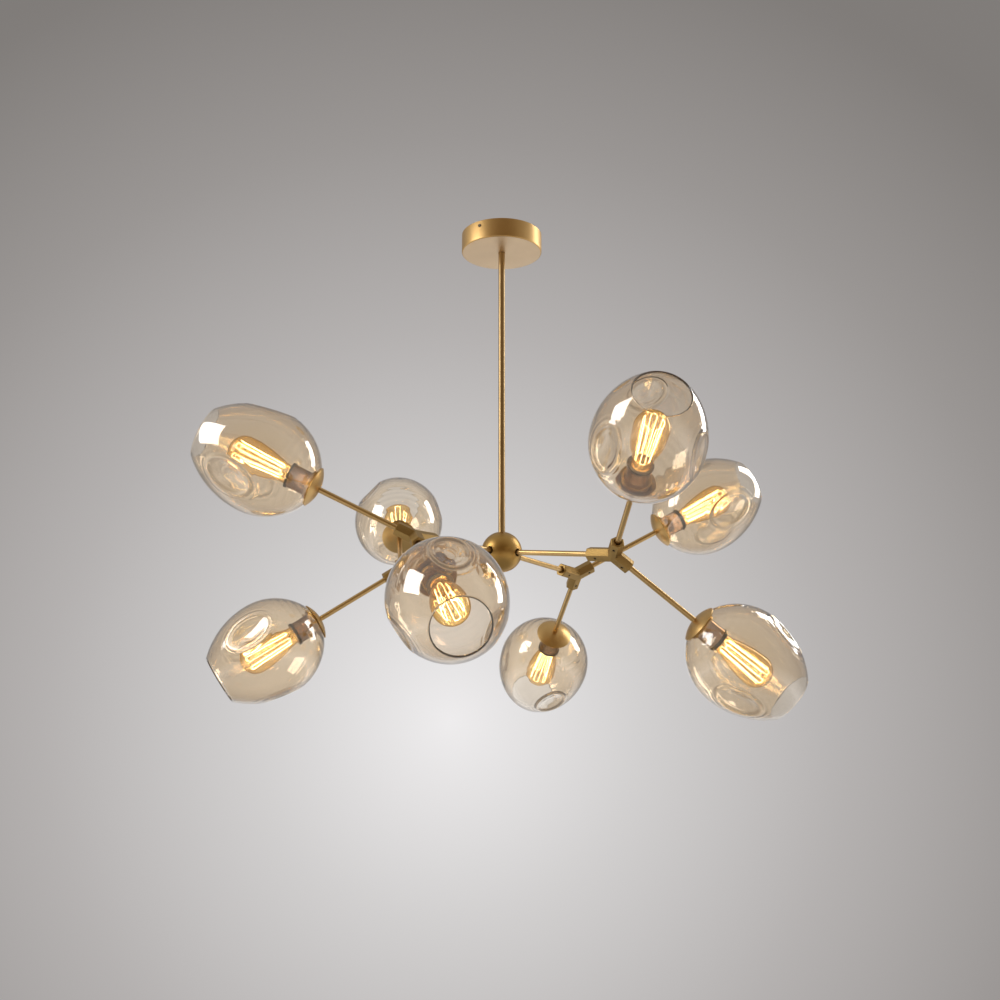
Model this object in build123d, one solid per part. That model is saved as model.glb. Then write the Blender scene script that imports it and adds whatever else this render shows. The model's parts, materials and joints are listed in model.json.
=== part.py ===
from build123d import *
import math
import os

os.makedirs("parts", exist_ok=True)

# A branching chandelier on a rigid stem. A ball under the stem carries four tubes at right angles, each tube
# carries a Y-shaped hub, and each hub carries two lamps with dimpled glass shades.
# Lengths are in millimetres and angles in degrees. +Z is up, and the ceiling is the plane Z = 0.

# Room between pieces
SLIP_GAP = 0.05  # radial room of a tube, shaft or thread in its bore
FREE_GAP = 0.3  # room beside a piece that only rests near its neighbour
CUT_PAST = 1.0  # how far a drilled or turned cut runs past the piece

# Canopy and the mounting plate inside it
CANOPY_D = 124.0
CANOPY_HEIGHT = 30.0
CANOPY_WALL = 1.2
CANOPY_EDGE_R = 1.8
CANOPY_SCREW_D = 3.5
CANOPY_SCREW_HEAD_D = 5.0
CANOPY_SCREW_HEAD_HEIGHT = 1.0
CANOPY_SCREW_DEPTH = 8.0  # from the ceiling to the screw's axis
CANOPY_SCREW_AZIMUTHS = (57.0, 237.0)
SCREW_SLOT_WIDTH = 0.8
PLATE_GAP = 1.0
PLATE_WALL = 1.5
PLATE_DEPTH = 16.0
SLOT_SPACING = 70.0
SLOT_LENGTH = 14.0
SLOT_WIDTH = 5.0
RECESS_ROOM = 2.5  # between the collar nut's corners and the recess
RECESS_DEPTH = 8.0
TERMINAL_LENGTH = 30.0
TERMINAL_WIDTH = 16.0
TERMINAL_HEIGHT = 13.0
TERMINAL_WAY_D = 4.0
TERMINAL_WAYS = 3

# Collar that hangs the stem in the plate
COLLAR_WALL = 1.7  # around the stem's head
COLLAR_FLANGE_STEP = 5.0
COLLAR_FLANGE_HEIGHT = 3.0
COLLAR_TAIL = 7.0
COLLAR_NUT_WALL = 4.0
COLLAR_NUT_HEIGHT = 4.0
COLLAR_THREAD_SPARE = 0.5

# Stem and ball
STEM_D = 10.0
STEM_WALL = 1.2
STEM_HEAD_STEP = 2.0
STEM_HEAD_HEIGHT = 4.0
STEM_DROP = 476.0  # from the canopy's lower face to the ball's centre
BALL_D = 60.0
BALL_WALL = 3.0
BALL_SEAM_DROP = 7.5  # from the ball's top to its seam
BALL_LIP_HEIGHT = 2.0
BALL_LIP_WALL = 2.0
BALL_ARM_ROOM = 2.0  # around each tube where it leaves the ball
CORE_ROOM = 8.0  # around the core, inside the ball
CORE_SHOULDER = 3.0  # from the stem's end up to the core's shoulder
CORE_FLOOR = 2.0  # from the grub screws' heads down to the core's underside
CORE_NECK_WALL = 3.0
CORE_STEM_ROOM = 6.0  # from the tubes up to the stem's end
CORE_ARM_ROOM = 4.0  # from a tube's inner end to the tubes beside it

# Tubes and hubs
ARM_D = 8.0
ARM_WALL = 1.2
ARM_GROOVE_WIDTH = 5.0
ARM_GROOVE_DEPTH = 0.7
BRANCH_REACH = 197.0  # from the ball's centre to a hub's centre
FIRST_AZIMUTH = 53.1  # compass angle of the first tube, the others follow at right angles
BRANCH_DROOPS = (0.6, 1.0, 3.9, 8.5)  # each tube slopes down by this much
HUB_ROLLS = (-35.9, -41.0, -35.3, -38.4)  # each hub is turned about its tube by this much
HUB_HALF_ANGLE = 55.7  # between a lamp arm and the tube's line
HUB_FLATS = 18.0
HUB_TUBE_LEG = 42.0
HUB_LAMP_LEG = 29.0
HUB_CHAMFER = 0.8
HUB_CORE = 11.0  # from a hub's centre to the bottom of its bores
COUNTERBORE_ROOM = 1.75  # around the tube or arm in a leg's end
COUNTERBORE_DEPTH = 4.0
GRUB_D = 4.0
GRUB_SOCKET_FLATS = 2.0
GRUB_SOCKET_DEPTH = 2.0
GRUB_SINK = 0.4  # a grub screw's top lies this far under the face
CORE_GRUB_LENGTH = 6.0
TUBE_GRUB_INSET = 15.0  # from the tube leg's end
LAMP_GRUB_INSET = 10.0  # from a lamp leg's end

# Wires
WIRE_GAP = 0.3
WIRE_END = 7.0  # from a hub's centre to the wire ends that meet there
WIRE_STOP = 4.7  # from a lamp wire's end to the floor of the bulb's bore

# Lamp: heights run along the lamp arm, from the cap's rim plane towards the shade's mouth
LAMP_REACH = 156.0  # from a hub's centre to the cap's rim plane
CAP_D = 57.0
CAP_HEIGHT = 9.5
CAP_RIM = 1.2
CAP_WALL = 1.2
CAP_SHOULDER_STEP = 1.0  # from the holder's thread out to the cap's shoulder
CAP_CROWN = 2.9  # from the cap's shoulder up to its top
HOLDER_WALL = 2.95  # around the bulb's base
HOLDER_THREAD_HEIGHT = 0.5
HOLDER_CAP_ROOM = 1.4  # between the holder's flat top and the cap
HOLDER_FLOOR = 8.7  # from the rim plane to the floor of the bulb's bore
HOLDER_NIPPLE_WALL = 2.45
HOLDER_RIM_WALL = 1.4
HOLDER_RIM_HEIGHT = 3.0
ARM_SEAT_DEPTH = 0.7  # from the holder's flat top to the lamp arm's end
RING_WALL = 3.45
RING_HEIGHT = 8.0

# Glass shade
SHADE_D = 150.0
SHADE_CROWN_R = 86.0  # radius of the arc from the hole to the belly
SHADE_NARROWING_R = 127.6  # radius of the long arc from the belly to the mouth
SHADE_MOUTH_D = 76.0
SHADE_WALL = 2.5
DENT_COUNT = 3
DENT_R = 40.0  # across a dent
DENT_LENGTH_R = 105.0  # along a dent, which is longer than it is wide
DENT_DEPTH = 9.5
DENT_DROP = 22.5  # from the belly to the dents
SHADE_TURNS = (20.0, 75.0, 99.0, 84.0, 10.0, 25.0, 28.0, 54.0)  # about each lamp arm

# Filament bulb: heights run from the holder's rim towards the bulb's tip
BULB_D = 48.0
BULB_LENGTH = 91.0
BULB_NECK_D = 26.0
BULB_NECK_PULL = 18.0  # how far the neck runs straight before it flares
BULB_WAIST_PULL = 36.0  # how far below the round tip the glass starts to narrow
BULB_GLASS = 0.8
BASE_D = 26.5
BASE_LENGTH = 26.0
BASE_NOSE_D = 12.0
BASE_NOSE_LENGTH = 2.0
MOUNT_FOOT_ROOM = 2.2  # between the glass foot and the neck
MOUNT_STALK_D = 6.0
MOUNT_STALK_HEIGHT = 9.0
MOUNT_ROD_D = 1.8
MOUNT_TIP_ROOM = 10.0  # from the rod's top to the bulb's tip
FILAMENT_STRANDS = 6
FILAMENT_INSET = 2.0  # from each end of the rod to the filament's spokes
FILAMENT_LOW_R = 9.8
FILAMENT_HIGH_R = 13.5
FILAMENT_WIRE_R = 0.4
FILAMENT_BEAD_R = 0.6

BRANCH_COUNT = len(BRANCH_DROOPS)
BALL_CENTRE = Vector(0, 0, -(CANOPY_HEIGHT + STEM_DROP))
BALL_INNER_R = BALL_D / 2 - BALL_WALL
STEM_INNER_R = STEM_D / 2 - STEM_WALL
ARM_BORE_R = ARM_D / 2 + SLIP_GAP
ARM_INNER_R = ARM_D / 2 - ARM_WALL
FROM_BOTTOM = (Align.CENTER, Align.CENTER, Align.MIN)


def save(name, *pieces):
    """Write the solids of one node to its file."""
    solids = [solid for piece in pieces for solid in piece.solids()]
    node = solids[0] if len(solids) == 1 else Compound(solids)
    node.label = name
    export_step(node, f"parts/{name}.step")


def rod(radius, start, end):
    """A round bar on the Z axis between two heights."""
    return Pos(0, 0, start) * Cylinder(radius, end - start, align=FROM_BOTTOM)


def tube(outer_r, inner_r, start, end):
    """A round tube on the Z axis between two heights."""
    return rod(outer_r, start, end) - rod(inner_r, start - CUT_PAST, end + CUT_PAST)


def turned(*edges):
    """The solid that a closed outline of radius and height makes about the Z axis."""
    return revolve(Plane.XZ * make_face(Wire(list(edges))), Axis.Z)


def turned_points(*points):
    """As turned, for an outline of straight lines."""
    return turned(*Polyline(*points, close=True).edges())


def along(direction, origin=(0, 0, 0)):
    """A place whose Z axis points along a direction in the plane Z = 0, with its X axis upright."""
    return Plane(origin=origin, x_dir=(0, 0, 1), z_dir=direction).location


def branch_frame(index):
    """A hub's own frame at the ball's centre: X along the tube, Y and X in the plane of the Y-shaped hub."""
    azimuth = math.radians(FIRST_AZIMUTH + 360 / BRANCH_COUNT * index)
    slope = -math.radians(BRANCH_DROOPS[index])
    roll = math.radians(HUB_ROLLS[index])
    outward = Vector(math.cos(slope) * math.cos(azimuth), math.cos(slope) * math.sin(azimuth), math.sin(slope))
    sideways = Vector(-math.sin(azimuth), math.cos(azimuth), 0)
    upward = outward.cross(sideways)
    normal = upward * math.cos(roll) - sideways * math.sin(roll)
    return Plane(origin=BALL_CENTRE, x_dir=outward, z_dir=normal).location


def lamp_direction(side):
    """Direction of a lamp arm in its hub's frame. Side -1 points up, side 1 points down."""
    half = math.radians(HUB_HALF_ANGLE)
    return Vector(math.cos(half), side * math.sin(half), 0)


def lamp_frame(side):
    """A lamp's frame in its hub's frame: Z along the lamp arm, origin in the cap's rim plane."""
    direction = lamp_direction(side)
    return along(direction, Vector(BRANCH_REACH, 0, 0) + direction * LAMP_REACH)


def grub_screw(length):
    """A socket grub screw with its top at height 0 and its tip below."""
    socket = RegularPolygon(GRUB_SOCKET_FLATS / 2, 6, major_radius=False)
    return rod(GRUB_D / 2, -length, 0) - extrude(socket, -GRUB_SOCKET_DEPTH)


# Ceiling fixing

CANOPY_INNER_R = CANOPY_D / 2 - CANOPY_WALL
PLATE_R = CANOPY_INNER_R - PLATE_GAP
STEM_HEAD_R = STEM_D / 2 + STEM_HEAD_STEP
COLLAR_R = STEM_HEAD_R + FREE_GAP + COLLAR_WALL
COLLAR_NUT_R = COLLAR_R + COLLAR_NUT_WALL  # to the flats
RECESS_INNER_R = COLLAR_NUT_R / math.cos(math.radians(30)) + RECESS_ROOM
RECESS_R = RECESS_INNER_R + PLATE_WALL
RECESS_FLOOR = -RECESS_DEPTH  # height of the recess's upper face
RECESS_UNDER = RECESS_FLOOR - PLATE_WALL


def make_mounting_plate():
    """A pressed pan with a drawn centre recess, two slots for the ceiling screws and the collar's hole."""
    plate = turned_points(
        (0, RECESS_FLOOR),
        (RECESS_INNER_R, RECESS_FLOOR),
        (RECESS_INNER_R, 0),
        (PLATE_R, 0),
        (PLATE_R, -PLATE_DEPTH),
        (PLATE_R - PLATE_WALL, -PLATE_DEPTH),
        (PLATE_R - PLATE_WALL, -PLATE_WALL),
        (RECESS_R, -PLATE_WALL),
        (RECESS_R, RECESS_UNDER),
        (0, RECESS_UNDER),
    )
    plate -= rod(COLLAR_R + SLIP_GAP, RECESS_UNDER - CUT_PAST, 0)
    slot = extrude(SlotOverall(SLOT_LENGTH, SLOT_WIDTH), -2 * PLATE_WALL)
    for side in (-1, 1):
        plate -= Pos(side * SLOT_SPACING / 2, 0, PLATE_WALL / 2) * slot
    return plate


def make_stem_collar():
    """A flanged bush. The stem's head rests on the shoulder inside it, and the stem turns in its bore."""
    top = RECESS_FLOOR + COLLAR_NUT_HEIGHT + COLLAR_THREAD_SPARE
    flange_bottom = RECESS_UNDER - COLLAR_FLANGE_HEIGHT
    bottom = flange_bottom - COLLAR_TAIL
    shoulder = top - STEM_HEAD_HEIGHT - COLLAR_THREAD_SPARE
    collar = rod(COLLAR_R, bottom, top)
    collar += rod(COLLAR_R + COLLAR_FLANGE_STEP, flange_bottom, RECESS_UNDER)
    collar -= rod(STEM_D / 2 + SLIP_GAP, bottom - CUT_PAST, top + CUT_PAST)
    collar -= rod(STEM_HEAD_R + FREE_GAP, shoulder, top + CUT_PAST)
    return collar, shoulder


def make_collar_nut():
    """The hexagon nut that draws the collar's flange up against the recess."""
    blank = extrude(RegularPolygon(COLLAR_NUT_R, 6, major_radius=False), COLLAR_NUT_HEIGHT)
    hole = rod(COLLAR_R + SLIP_GAP, -CUT_PAST, COLLAR_NUT_HEIGHT + CUT_PAST)
    return Pos(0, 0, RECESS_FLOOR) * (blank - hole)


def make_terminal_block():
    """A mains connector under the plate, between the recess and the rim, with a way for each conductor."""
    block = Box(TERMINAL_LENGTH, TERMINAL_WIDTH, TERMINAL_HEIGHT, align=(Align.CENTER, Align.CENTER, Align.MAX))
    pitch = TERMINAL_LENGTH / TERMINAL_WAYS
    for way in range(TERMINAL_WAYS):
        x = (way - (TERMINAL_WAYS - 1) / 2) * pitch
        hole = rod(TERMINAL_WAY_D / 2, -TERMINAL_WIDTH, TERMINAL_WIDTH)
        block -= Pos(x, 0, -TERMINAL_HEIGHT / 2) * (Rot(90, 0, 0) * hole)
    offset = (RECESS_R + PLATE_R - PLATE_WALL) / 2
    return Pos(0, offset, -PLATE_WALL) * block


def screw_place(azimuth):
    """A place on the canopy's axis at a side screw's height, with Z pointing out through the screw."""
    return Pos(0, 0, -CANOPY_SCREW_DEPTH) * Rot(0, 0, azimuth) * Rot(0, 90, 0)


def make_canopy():
    """A spun cup with a rounded lower edge, the stem's hole and a hole for each side screw."""
    cup = rod(CANOPY_D / 2, -CANOPY_HEIGHT, 0)
    cup = fillet(cup.edges().sort_by(Axis.Z)[0], CANOPY_EDGE_R)
    cup -= rod(CANOPY_INNER_R, CANOPY_WALL - CANOPY_HEIGHT, CUT_PAST)
    cup -= rod(STEM_D / 2 + FREE_GAP, -CANOPY_HEIGHT - CUT_PAST, 0)
    screw_hole = rod(CANOPY_SCREW_D / 2 + SLIP_GAP, CANOPY_INNER_R - CUT_PAST, CANOPY_D / 2 + CUT_PAST)
    for azimuth in CANOPY_SCREW_AZIMUTHS:
        cup -= screw_place(azimuth) * screw_hole
    return cup


def make_canopy_screw():
    """A side screw with a slotted head. Its tip stops just short of the plate's wall."""
    head_start = CANOPY_D / 2
    head_end = head_start + CANOPY_SCREW_HEAD_HEIGHT
    screw = rod(CANOPY_SCREW_D / 2, PLATE_R + FREE_GAP, head_end)
    screw += rod(CANOPY_SCREW_HEAD_D / 2, head_start, head_end)
    slot = Box(SCREW_SLOT_WIDTH, 2 * CANOPY_SCREW_HEAD_D, CANOPY_SCREW_HEAD_HEIGHT)
    return screw - Pos(0, 0, head_end) * slot


# Stem and ball

BALL_SEAM_HEIGHT = BALL_D / 2 - BALL_SEAM_DROP
CORE_R = BALL_INNER_R - CORE_ROOM
CORE_STEM_STOP = ARM_D / 2 + CORE_STEM_ROOM  # height of the stem's end above the ball's centre
CORE_ARM_STOP = ARM_D / 2 + CORE_ARM_ROOM  # from the ball's centre to a tube's inner end


def make_stem(shoulder):
    """The stem tube, with the turned head that rests in the collar, and the height of its top."""
    head_bottom = shoulder + SLIP_GAP
    head_top = head_bottom + STEM_HEAD_HEIGHT
    bottom = BALL_CENTRE.Z + CORE_STEM_STOP
    stem = rod(STEM_D / 2, bottom, head_top) + rod(STEM_HEAD_R, head_bottom, head_top)
    return stem - rod(STEM_INNER_R, bottom - CUT_PAST, head_top + CUT_PAST), head_top


def make_ball():
    """The hollow ball in two pieces that meet at the seam, with a wide hole for each tube."""
    hollow = Sphere(BALL_D / 2) - Sphere(BALL_INNER_R)
    above = Pos(0, 0, BALL_SEAM_HEIGHT) * Box(BALL_D, BALL_D, BALL_D, align=FROM_BOTTOM)
    lip_r = math.sqrt(BALL_INNER_R**2 - BALL_SEAM_HEIGHT**2) - SLIP_GAP
    lip_bottom = BALL_SEAM_HEIGHT - BALL_LIP_HEIGHT
    lip_top = math.sqrt(BALL_INNER_R**2 - (lip_r - BALL_LIP_WALL) ** 2)
    lip = tube(lip_r, lip_r - BALL_LIP_WALL, lip_bottom, lip_top + BALL_WALL / 2)
    cap = (hollow & above) + lip
    cap -= rod(STEM_D / 2 + SLIP_GAP, 0, BALL_D)
    shell = hollow - above
    hole = along((1, 0, 0)) * rod(ARM_D / 2 + BALL_ARM_ROOM, 0, BALL_D)
    for index in range(BRANCH_COUNT):
        shell -= Pos(-BALL_CENTRE) * (branch_frame(index) * hole)
    return Pos(BALL_CENTRE) * cap, Pos(BALL_CENTRE) * shell


def core_grub_place(index):
    """Where a grub screw under a tube clamps it inside the core, with Z pointing out of the core."""
    middle = (CORE_ARM_STOP + CORE_R) / 2
    flat = branch_frame(index) * Rot(-HUB_ROLLS[index], 0, 0)
    return flat * Pos(middle, 0, -ARM_D / 2 - SLIP_GAP) * Rot(180, 0, 0)


def make_ball_core():
    """The block inside the ball that the stem and the tubes screw into, with ways for the wires."""
    bottom = -(ARM_BORE_R + CORE_GRUB_LENGTH + CORE_FLOOR)
    neck_r = STEM_D / 2 + CORE_NECK_WALL
    neck_top = math.sqrt(BALL_INNER_R**2 - neck_r**2) - FREE_GAP
    core = rod(CORE_R, bottom, CORE_STEM_STOP + CORE_SHOULDER) + rod(neck_r, 0, neck_top)
    core -= rod(STEM_D / 2 + SLIP_GAP, CORE_STEM_STOP, BALL_D)
    core -= rod(STEM_INNER_R, 0, BALL_D)
    core = Pos(BALL_CENTRE) * core
    bore = along((1, 0, 0)) * (rod(ARM_BORE_R, CORE_ARM_STOP, BALL_D) + rod(ARM_INNER_R, 0, BALL_D))
    for index in range(BRANCH_COUNT):
        core -= branch_frame(index) * bore
        core -= core_grub_place(index) * rod(GRUB_D / 2 + SLIP_GAP, -ARM_WALL, BALL_D)
    return core


def make_ball_arm():
    """A tube from the core to the hub, with the groove that the hub's grub screw runs in."""
    start = CORE_ARM_STOP + SLIP_GAP
    end = BRANCH_REACH - HUB_CORE - FREE_GAP
    groove_middle = BRANCH_REACH - HUB_TUBE_LEG + TUBE_GRUB_INSET
    groove_start = groove_middle - ARM_GROOVE_WIDTH / 2
    arm = tube(ARM_D / 2, ARM_INNER_R, start, end)
    arm -= tube(ARM_D, ARM_D / 2 - ARM_GROOVE_DEPTH, groove_start, groove_start + ARM_GROOVE_WIDTH)
    return along((1, 0, 0)) * arm


def make_wiring(stem_top):
    """The cable in the stem and the cable in each tube."""
    cables = [rod(STEM_INNER_R - WIRE_GAP, BALL_CENTRE.Z + CORE_STEM_STOP, stem_top)]
    wire = along((1, 0, 0)) * rod(ARM_INNER_R - WIRE_GAP, CORE_ARM_STOP, BRANCH_REACH - WIRE_END)
    cables += [branch_frame(index) * wire for index in range(BRANCH_COUNT)]
    return cables


# Hub

def hub_leg(length):
    """A hexagonal leg on the Z axis with chamfered end edges."""
    leg = extrude(RegularPolygon(HUB_FLATS / 2, 6, major_radius=False, rotation=30), length)
    return chamfer(leg.faces().sort_by(Axis.Z)[-1].edges(), HUB_CHAMFER)


def hub_bores(length):
    """The ways that are drilled into a leg from its end."""
    bores = rod(ARM_BORE_R, HUB_CORE, length + CUT_PAST)
    bores += rod(ARM_D / 2 + COUNTERBORE_ROOM, length - COUNTERBORE_DEPTH, length + CUT_PAST)
    return bores + rod(ARM_INNER_R, 0, length)


def hub_legs():
    """Each leg's direction and length, the tube leg first."""
    legs = [(Vector(-1, 0, 0), HUB_TUBE_LEG)]
    return legs + [(lamp_direction(side), HUB_LAMP_LEG) for side in (-1, 1)]


def hub_grub_places():
    """Each grub screw's place under the hub, with Z pointing out, and its depth from there to the tube."""
    face = HUB_FLATS / 2 - GRUB_SINK
    groove_stop = ARM_D / 2 - ARM_GROOVE_DEPTH + FREE_GAP
    insets = (TUBE_GRUB_INSET, LAMP_GRUB_INSET, LAMP_GRUB_INSET)
    stops = (groove_stop, ARM_BORE_R, ARM_BORE_R)
    places = []
    for (direction, length), inset, stop in zip(hub_legs(), insets, stops):
        under = Pos(direction * (length - inset)) * Pos(0, 0, -face)
        places.append((under * Rot(180, 0, 0), face - stop))
    return places


def make_hub():
    """The Y block. Its lower flat takes a grub screw on each leg."""
    hub = Part() + [along(direction) * hub_leg(length) for direction, length in hub_legs()]
    for direction, length in hub_legs():
        hub -= along(direction) * hub_bores(length)
    for place, depth in hub_grub_places():
        hub -= place * rod(GRUB_D / 2 + SLIP_GAP, -depth - GRUB_SINK, HUB_FLATS)
    return Pos(BRANCH_REACH, 0, 0) * hub


def make_hub_screws():
    """The grub screws of one hub."""
    return [Pos(BRANCH_REACH, 0, 0) * place * grub_screw(depth) for place, depth in hub_grub_places()]


# Lamp

CAP_SHOULDER_HEIGHT = CAP_HEIGHT - CAP_CROWN
HOLDER_BORE_R = BASE_D / 2 + FREE_GAP
HOLDER_SKIRT_R = HOLDER_BORE_R + HOLDER_WALL
HOLDER_THREAD_R = HOLDER_SKIRT_R + HOLDER_THREAD_HEIGHT
HOLDER_TOP = -(CAP_SHOULDER_HEIGHT - CAP_WALL - HOLDER_CAP_ROOM)
HOLDER_END = HOLDER_FLOOR + FREE_GAP + BASE_NOSE_LENGTH + BASE_LENGTH
ARM_SEAT = HOLDER_TOP + ARM_SEAT_DEPTH
RING_R = HOLDER_THREAD_R + SLIP_GAP + RING_WALL
SHADE_CROWN_X = SHADE_D / 2 - SHADE_CROWN_R  # where the centres of the shade's two arcs lie
SHADE_NARROWING_X = SHADE_D / 2 - SHADE_NARROWING_R


def crown_rise(radius, inset):
    """How far the shade's crown rises above its belly at a radius, outside or moved in by a wall."""
    return math.sqrt((SHADE_CROWN_R - inset) ** 2 - (radius - SHADE_CROWN_X) ** 2)


SHADE_BELLY = FREE_GAP + crown_rise(CAP_D / 2 - CAP_WALL, 0)
RING_TOP = SHADE_BELLY - crown_rise(RING_R, SHADE_WALL) + FREE_GAP


def make_lamp_arm():
    """A lamp arm's tube, from the hub's bore into the holder's nipple."""
    return tube(ARM_D / 2, ARM_INNER_R, HUB_CORE + SLIP_GAP - LAMP_REACH, ARM_SEAT)


def make_lamp_wire():
    """The cable in a lamp arm, from the hub's middle into the holder."""
    return rod(ARM_INNER_R - WIRE_GAP, WIRE_END - LAMP_REACH, HOLDER_FLOOR - WIRE_STOP)


def cap_outline(inset):
    """The cap's curved face, moved in by a wall: rim, shoulder and bore edge."""
    rim = (CAP_D / 2 - inset, -CAP_RIM + inset)
    shoulder = (HOLDER_THREAD_R + CAP_SHOULDER_STEP, -CAP_SHOULDER_HEIGHT + inset)
    crown = (ARM_BORE_R, -CAP_HEIGHT + inset)
    return rim, shoulder, crown


def make_shade_cap():
    """A shallow dished cap with a short upright rim. The lamp arm passes through its middle."""
    rim, shoulder, crown = cap_outline(0)
    rim_in, shoulder_in, crown_in = cap_outline(CAP_WALL)
    return turned(
        Line((rim_in[0], 0), (rim[0], 0)),
        Line((rim[0], 0), rim),
        ThreePointArc(rim, shoulder, crown),
        Line(crown, crown_in),
        ThreePointArc(crown_in, shoulder_in, (rim_in[0], 0)),
    )


def make_lamp_holder():
    """A bulb socket: nipple for the arm, thread for the ring, plain skirt and a rim at the open end."""
    nipple_top = -CAP_HEIGHT + CAP_WALL + 2 * FREE_GAP
    rim_r = HOLDER_SKIRT_R + HOLDER_RIM_WALL
    holder = rod(HOLDER_THREAD_R, HOLDER_TOP, RING_TOP + RING_HEIGHT) + rod(HOLDER_SKIRT_R, 0, HOLDER_END)
    holder += rod(ARM_BORE_R + HOLDER_NIPPLE_WALL, nipple_top, 0)
    holder += tube(rim_r, HOLDER_BORE_R, HOLDER_END - HOLDER_RIM_HEIGHT, HOLDER_END)
    holder -= rod(HOLDER_BORE_R, HOLDER_FLOOR, HOLDER_END + CUT_PAST)
    holder -= rod(ARM_BORE_R, nipple_top - CUT_PAST, ARM_SEAT + SLIP_GAP)
    return holder - rod(ARM_INNER_R, HOLDER_TOP, HOLDER_FLOOR + CUT_PAST)


def make_shade_ring():
    """The threaded ring on the holder that clamps the glass from inside."""
    return tube(RING_R, HOLDER_THREAD_R + SLIP_GAP, RING_TOP, RING_TOP + RING_HEIGHT)


def shade_body(inset, overrun, hole_r):
    """The shade's form moved in by a wall, as a thick ring about its hole that may run past the mouth."""
    hole_rise = crown_rise(hole_r, inset)
    hole_turn = math.degrees(math.asin(hole_rise / (SHADE_CROWN_R - inset)))
    mouth_fall = math.sqrt(SHADE_NARROWING_R**2 - (SHADE_MOUTH_D / 2 - SHADE_NARROWING_X) ** 2) + overrun
    mouth_turn = math.asin(mouth_fall / (SHADE_NARROWING_R - inset))
    mouth_r = SHADE_NARROWING_X + (SHADE_NARROWING_R - inset) * math.cos(mouth_turn)
    mouth_height = SHADE_BELLY + mouth_fall
    return turned(
        CenterArc((SHADE_CROWN_X, SHADE_BELLY), SHADE_CROWN_R - inset, -hole_turn, hole_turn),
        CenterArc((SHADE_NARROWING_X, SHADE_BELLY), SHADE_NARROWING_R - inset, 0, math.degrees(mouth_turn)),
        Line((mouth_r, mouth_height), (hole_r, mouth_height)),
        Line((hole_r, mouth_height), (hole_r, SHADE_BELLY - hole_rise)),
    )


def shade_dents(inset):
    """The barrels that press the dents into a shade, grown by a wall for its inner face."""
    slope = math.asin(DENT_DROP / SHADE_NARROWING_R)
    reach = SHADE_NARROWING_R + DENT_R - DENT_DEPTH
    middle = (SHADE_NARROWING_X + reach * math.cos(slope), 0, SHADE_BELLY + reach * math.sin(slope))
    half = math.sqrt((DENT_LENGTH_R + inset) ** 2 - (DENT_LENGTH_R - DENT_R) ** 2)
    barrel = turned(ThreePointArc((0, -half), (DENT_R + inset, 0), (0, half)), Line((0, half), (0, -half)))
    tool = Pos(*middle) * Rot(0, -math.degrees(slope), 0) * barrel
    return [Rot(0, 0, 360 / DENT_COUNT * number) * tool for number in range(DENT_COUNT)]


def make_shade():
    """A blown shade with oval dents about its belly, a hole for the holder and an open mouth."""
    hole_r = HOLDER_THREAD_R + FREE_GAP
    outer = shade_body(0, 0, hole_r) - shade_dents(0)
    inner = shade_body(SHADE_WALL, CUT_PAST, hole_r - CUT_PAST) - shade_dents(SHADE_WALL)
    return outer - inner


MOUNT_TOP = BULB_LENGTH - MOUNT_TIP_ROOM
FILAMENT_LOW = MOUNT_STALK_HEIGHT + FILAMENT_INSET
FILAMENT_HIGH = MOUNT_TOP - FILAMENT_INSET


def bulb_envelope(inset):
    """The bulb's glass form moved in by its wall, as a full solid with a round tip."""
    tip_r = BULB_D / 2 - inset
    shoulder = BULB_LENGTH - BULB_D / 2
    neck = (BULB_NECK_D / 2 - inset, 0)
    waist = (tip_r, shoulder)
    neck_pull = (neck[0], BULB_NECK_PULL)
    waist_pull = (tip_r, shoulder - BULB_WAIST_PULL)
    return turned(
        Line((0, 0), neck),
        Bezier(neck, neck_pull, waist_pull, waist),
        CenterArc((0, shoulder), tip_r, 0, 90),
        Line((0, shoulder + tip_r), (0, 0)),
    )


def bulb_base():
    """The screw base, plain where its thread would be, with the contact at its nose."""
    base = rod(BASE_D / 2, -BASE_LENGTH, 0)
    return base + rod(BASE_NOSE_D / 2, -BASE_LENGTH - BASE_NOSE_LENGTH, -BASE_LENGTH)


def bulb_mount():
    """The glass foot and stalk inside the bulb, with the rod that carries the filament."""
    foot_r = BULB_NECK_D / 2 - BULB_GLASS - MOUNT_FOOT_ROOM
    stalk_r = MOUNT_STALK_D / 2
    rod_r = MOUNT_ROD_D / 2
    neck_height = MOUNT_STALK_HEIGHT / 2
    return turned_points(
        (0, 0),
        (foot_r, 0),
        (stalk_r, neck_height),
        (stalk_r, MOUNT_STALK_HEIGHT),
        (rod_r, MOUNT_STALK_HEIGHT),
        (rod_r, MOUNT_TOP),
        (0, MOUNT_TOP),
    )


def wire_between(start, end, radius):
    """A straight round wire between two points."""
    direction = end - start
    return Plane(origin=start, z_dir=direction).location * rod(radius, 0, direction.length)


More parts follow.
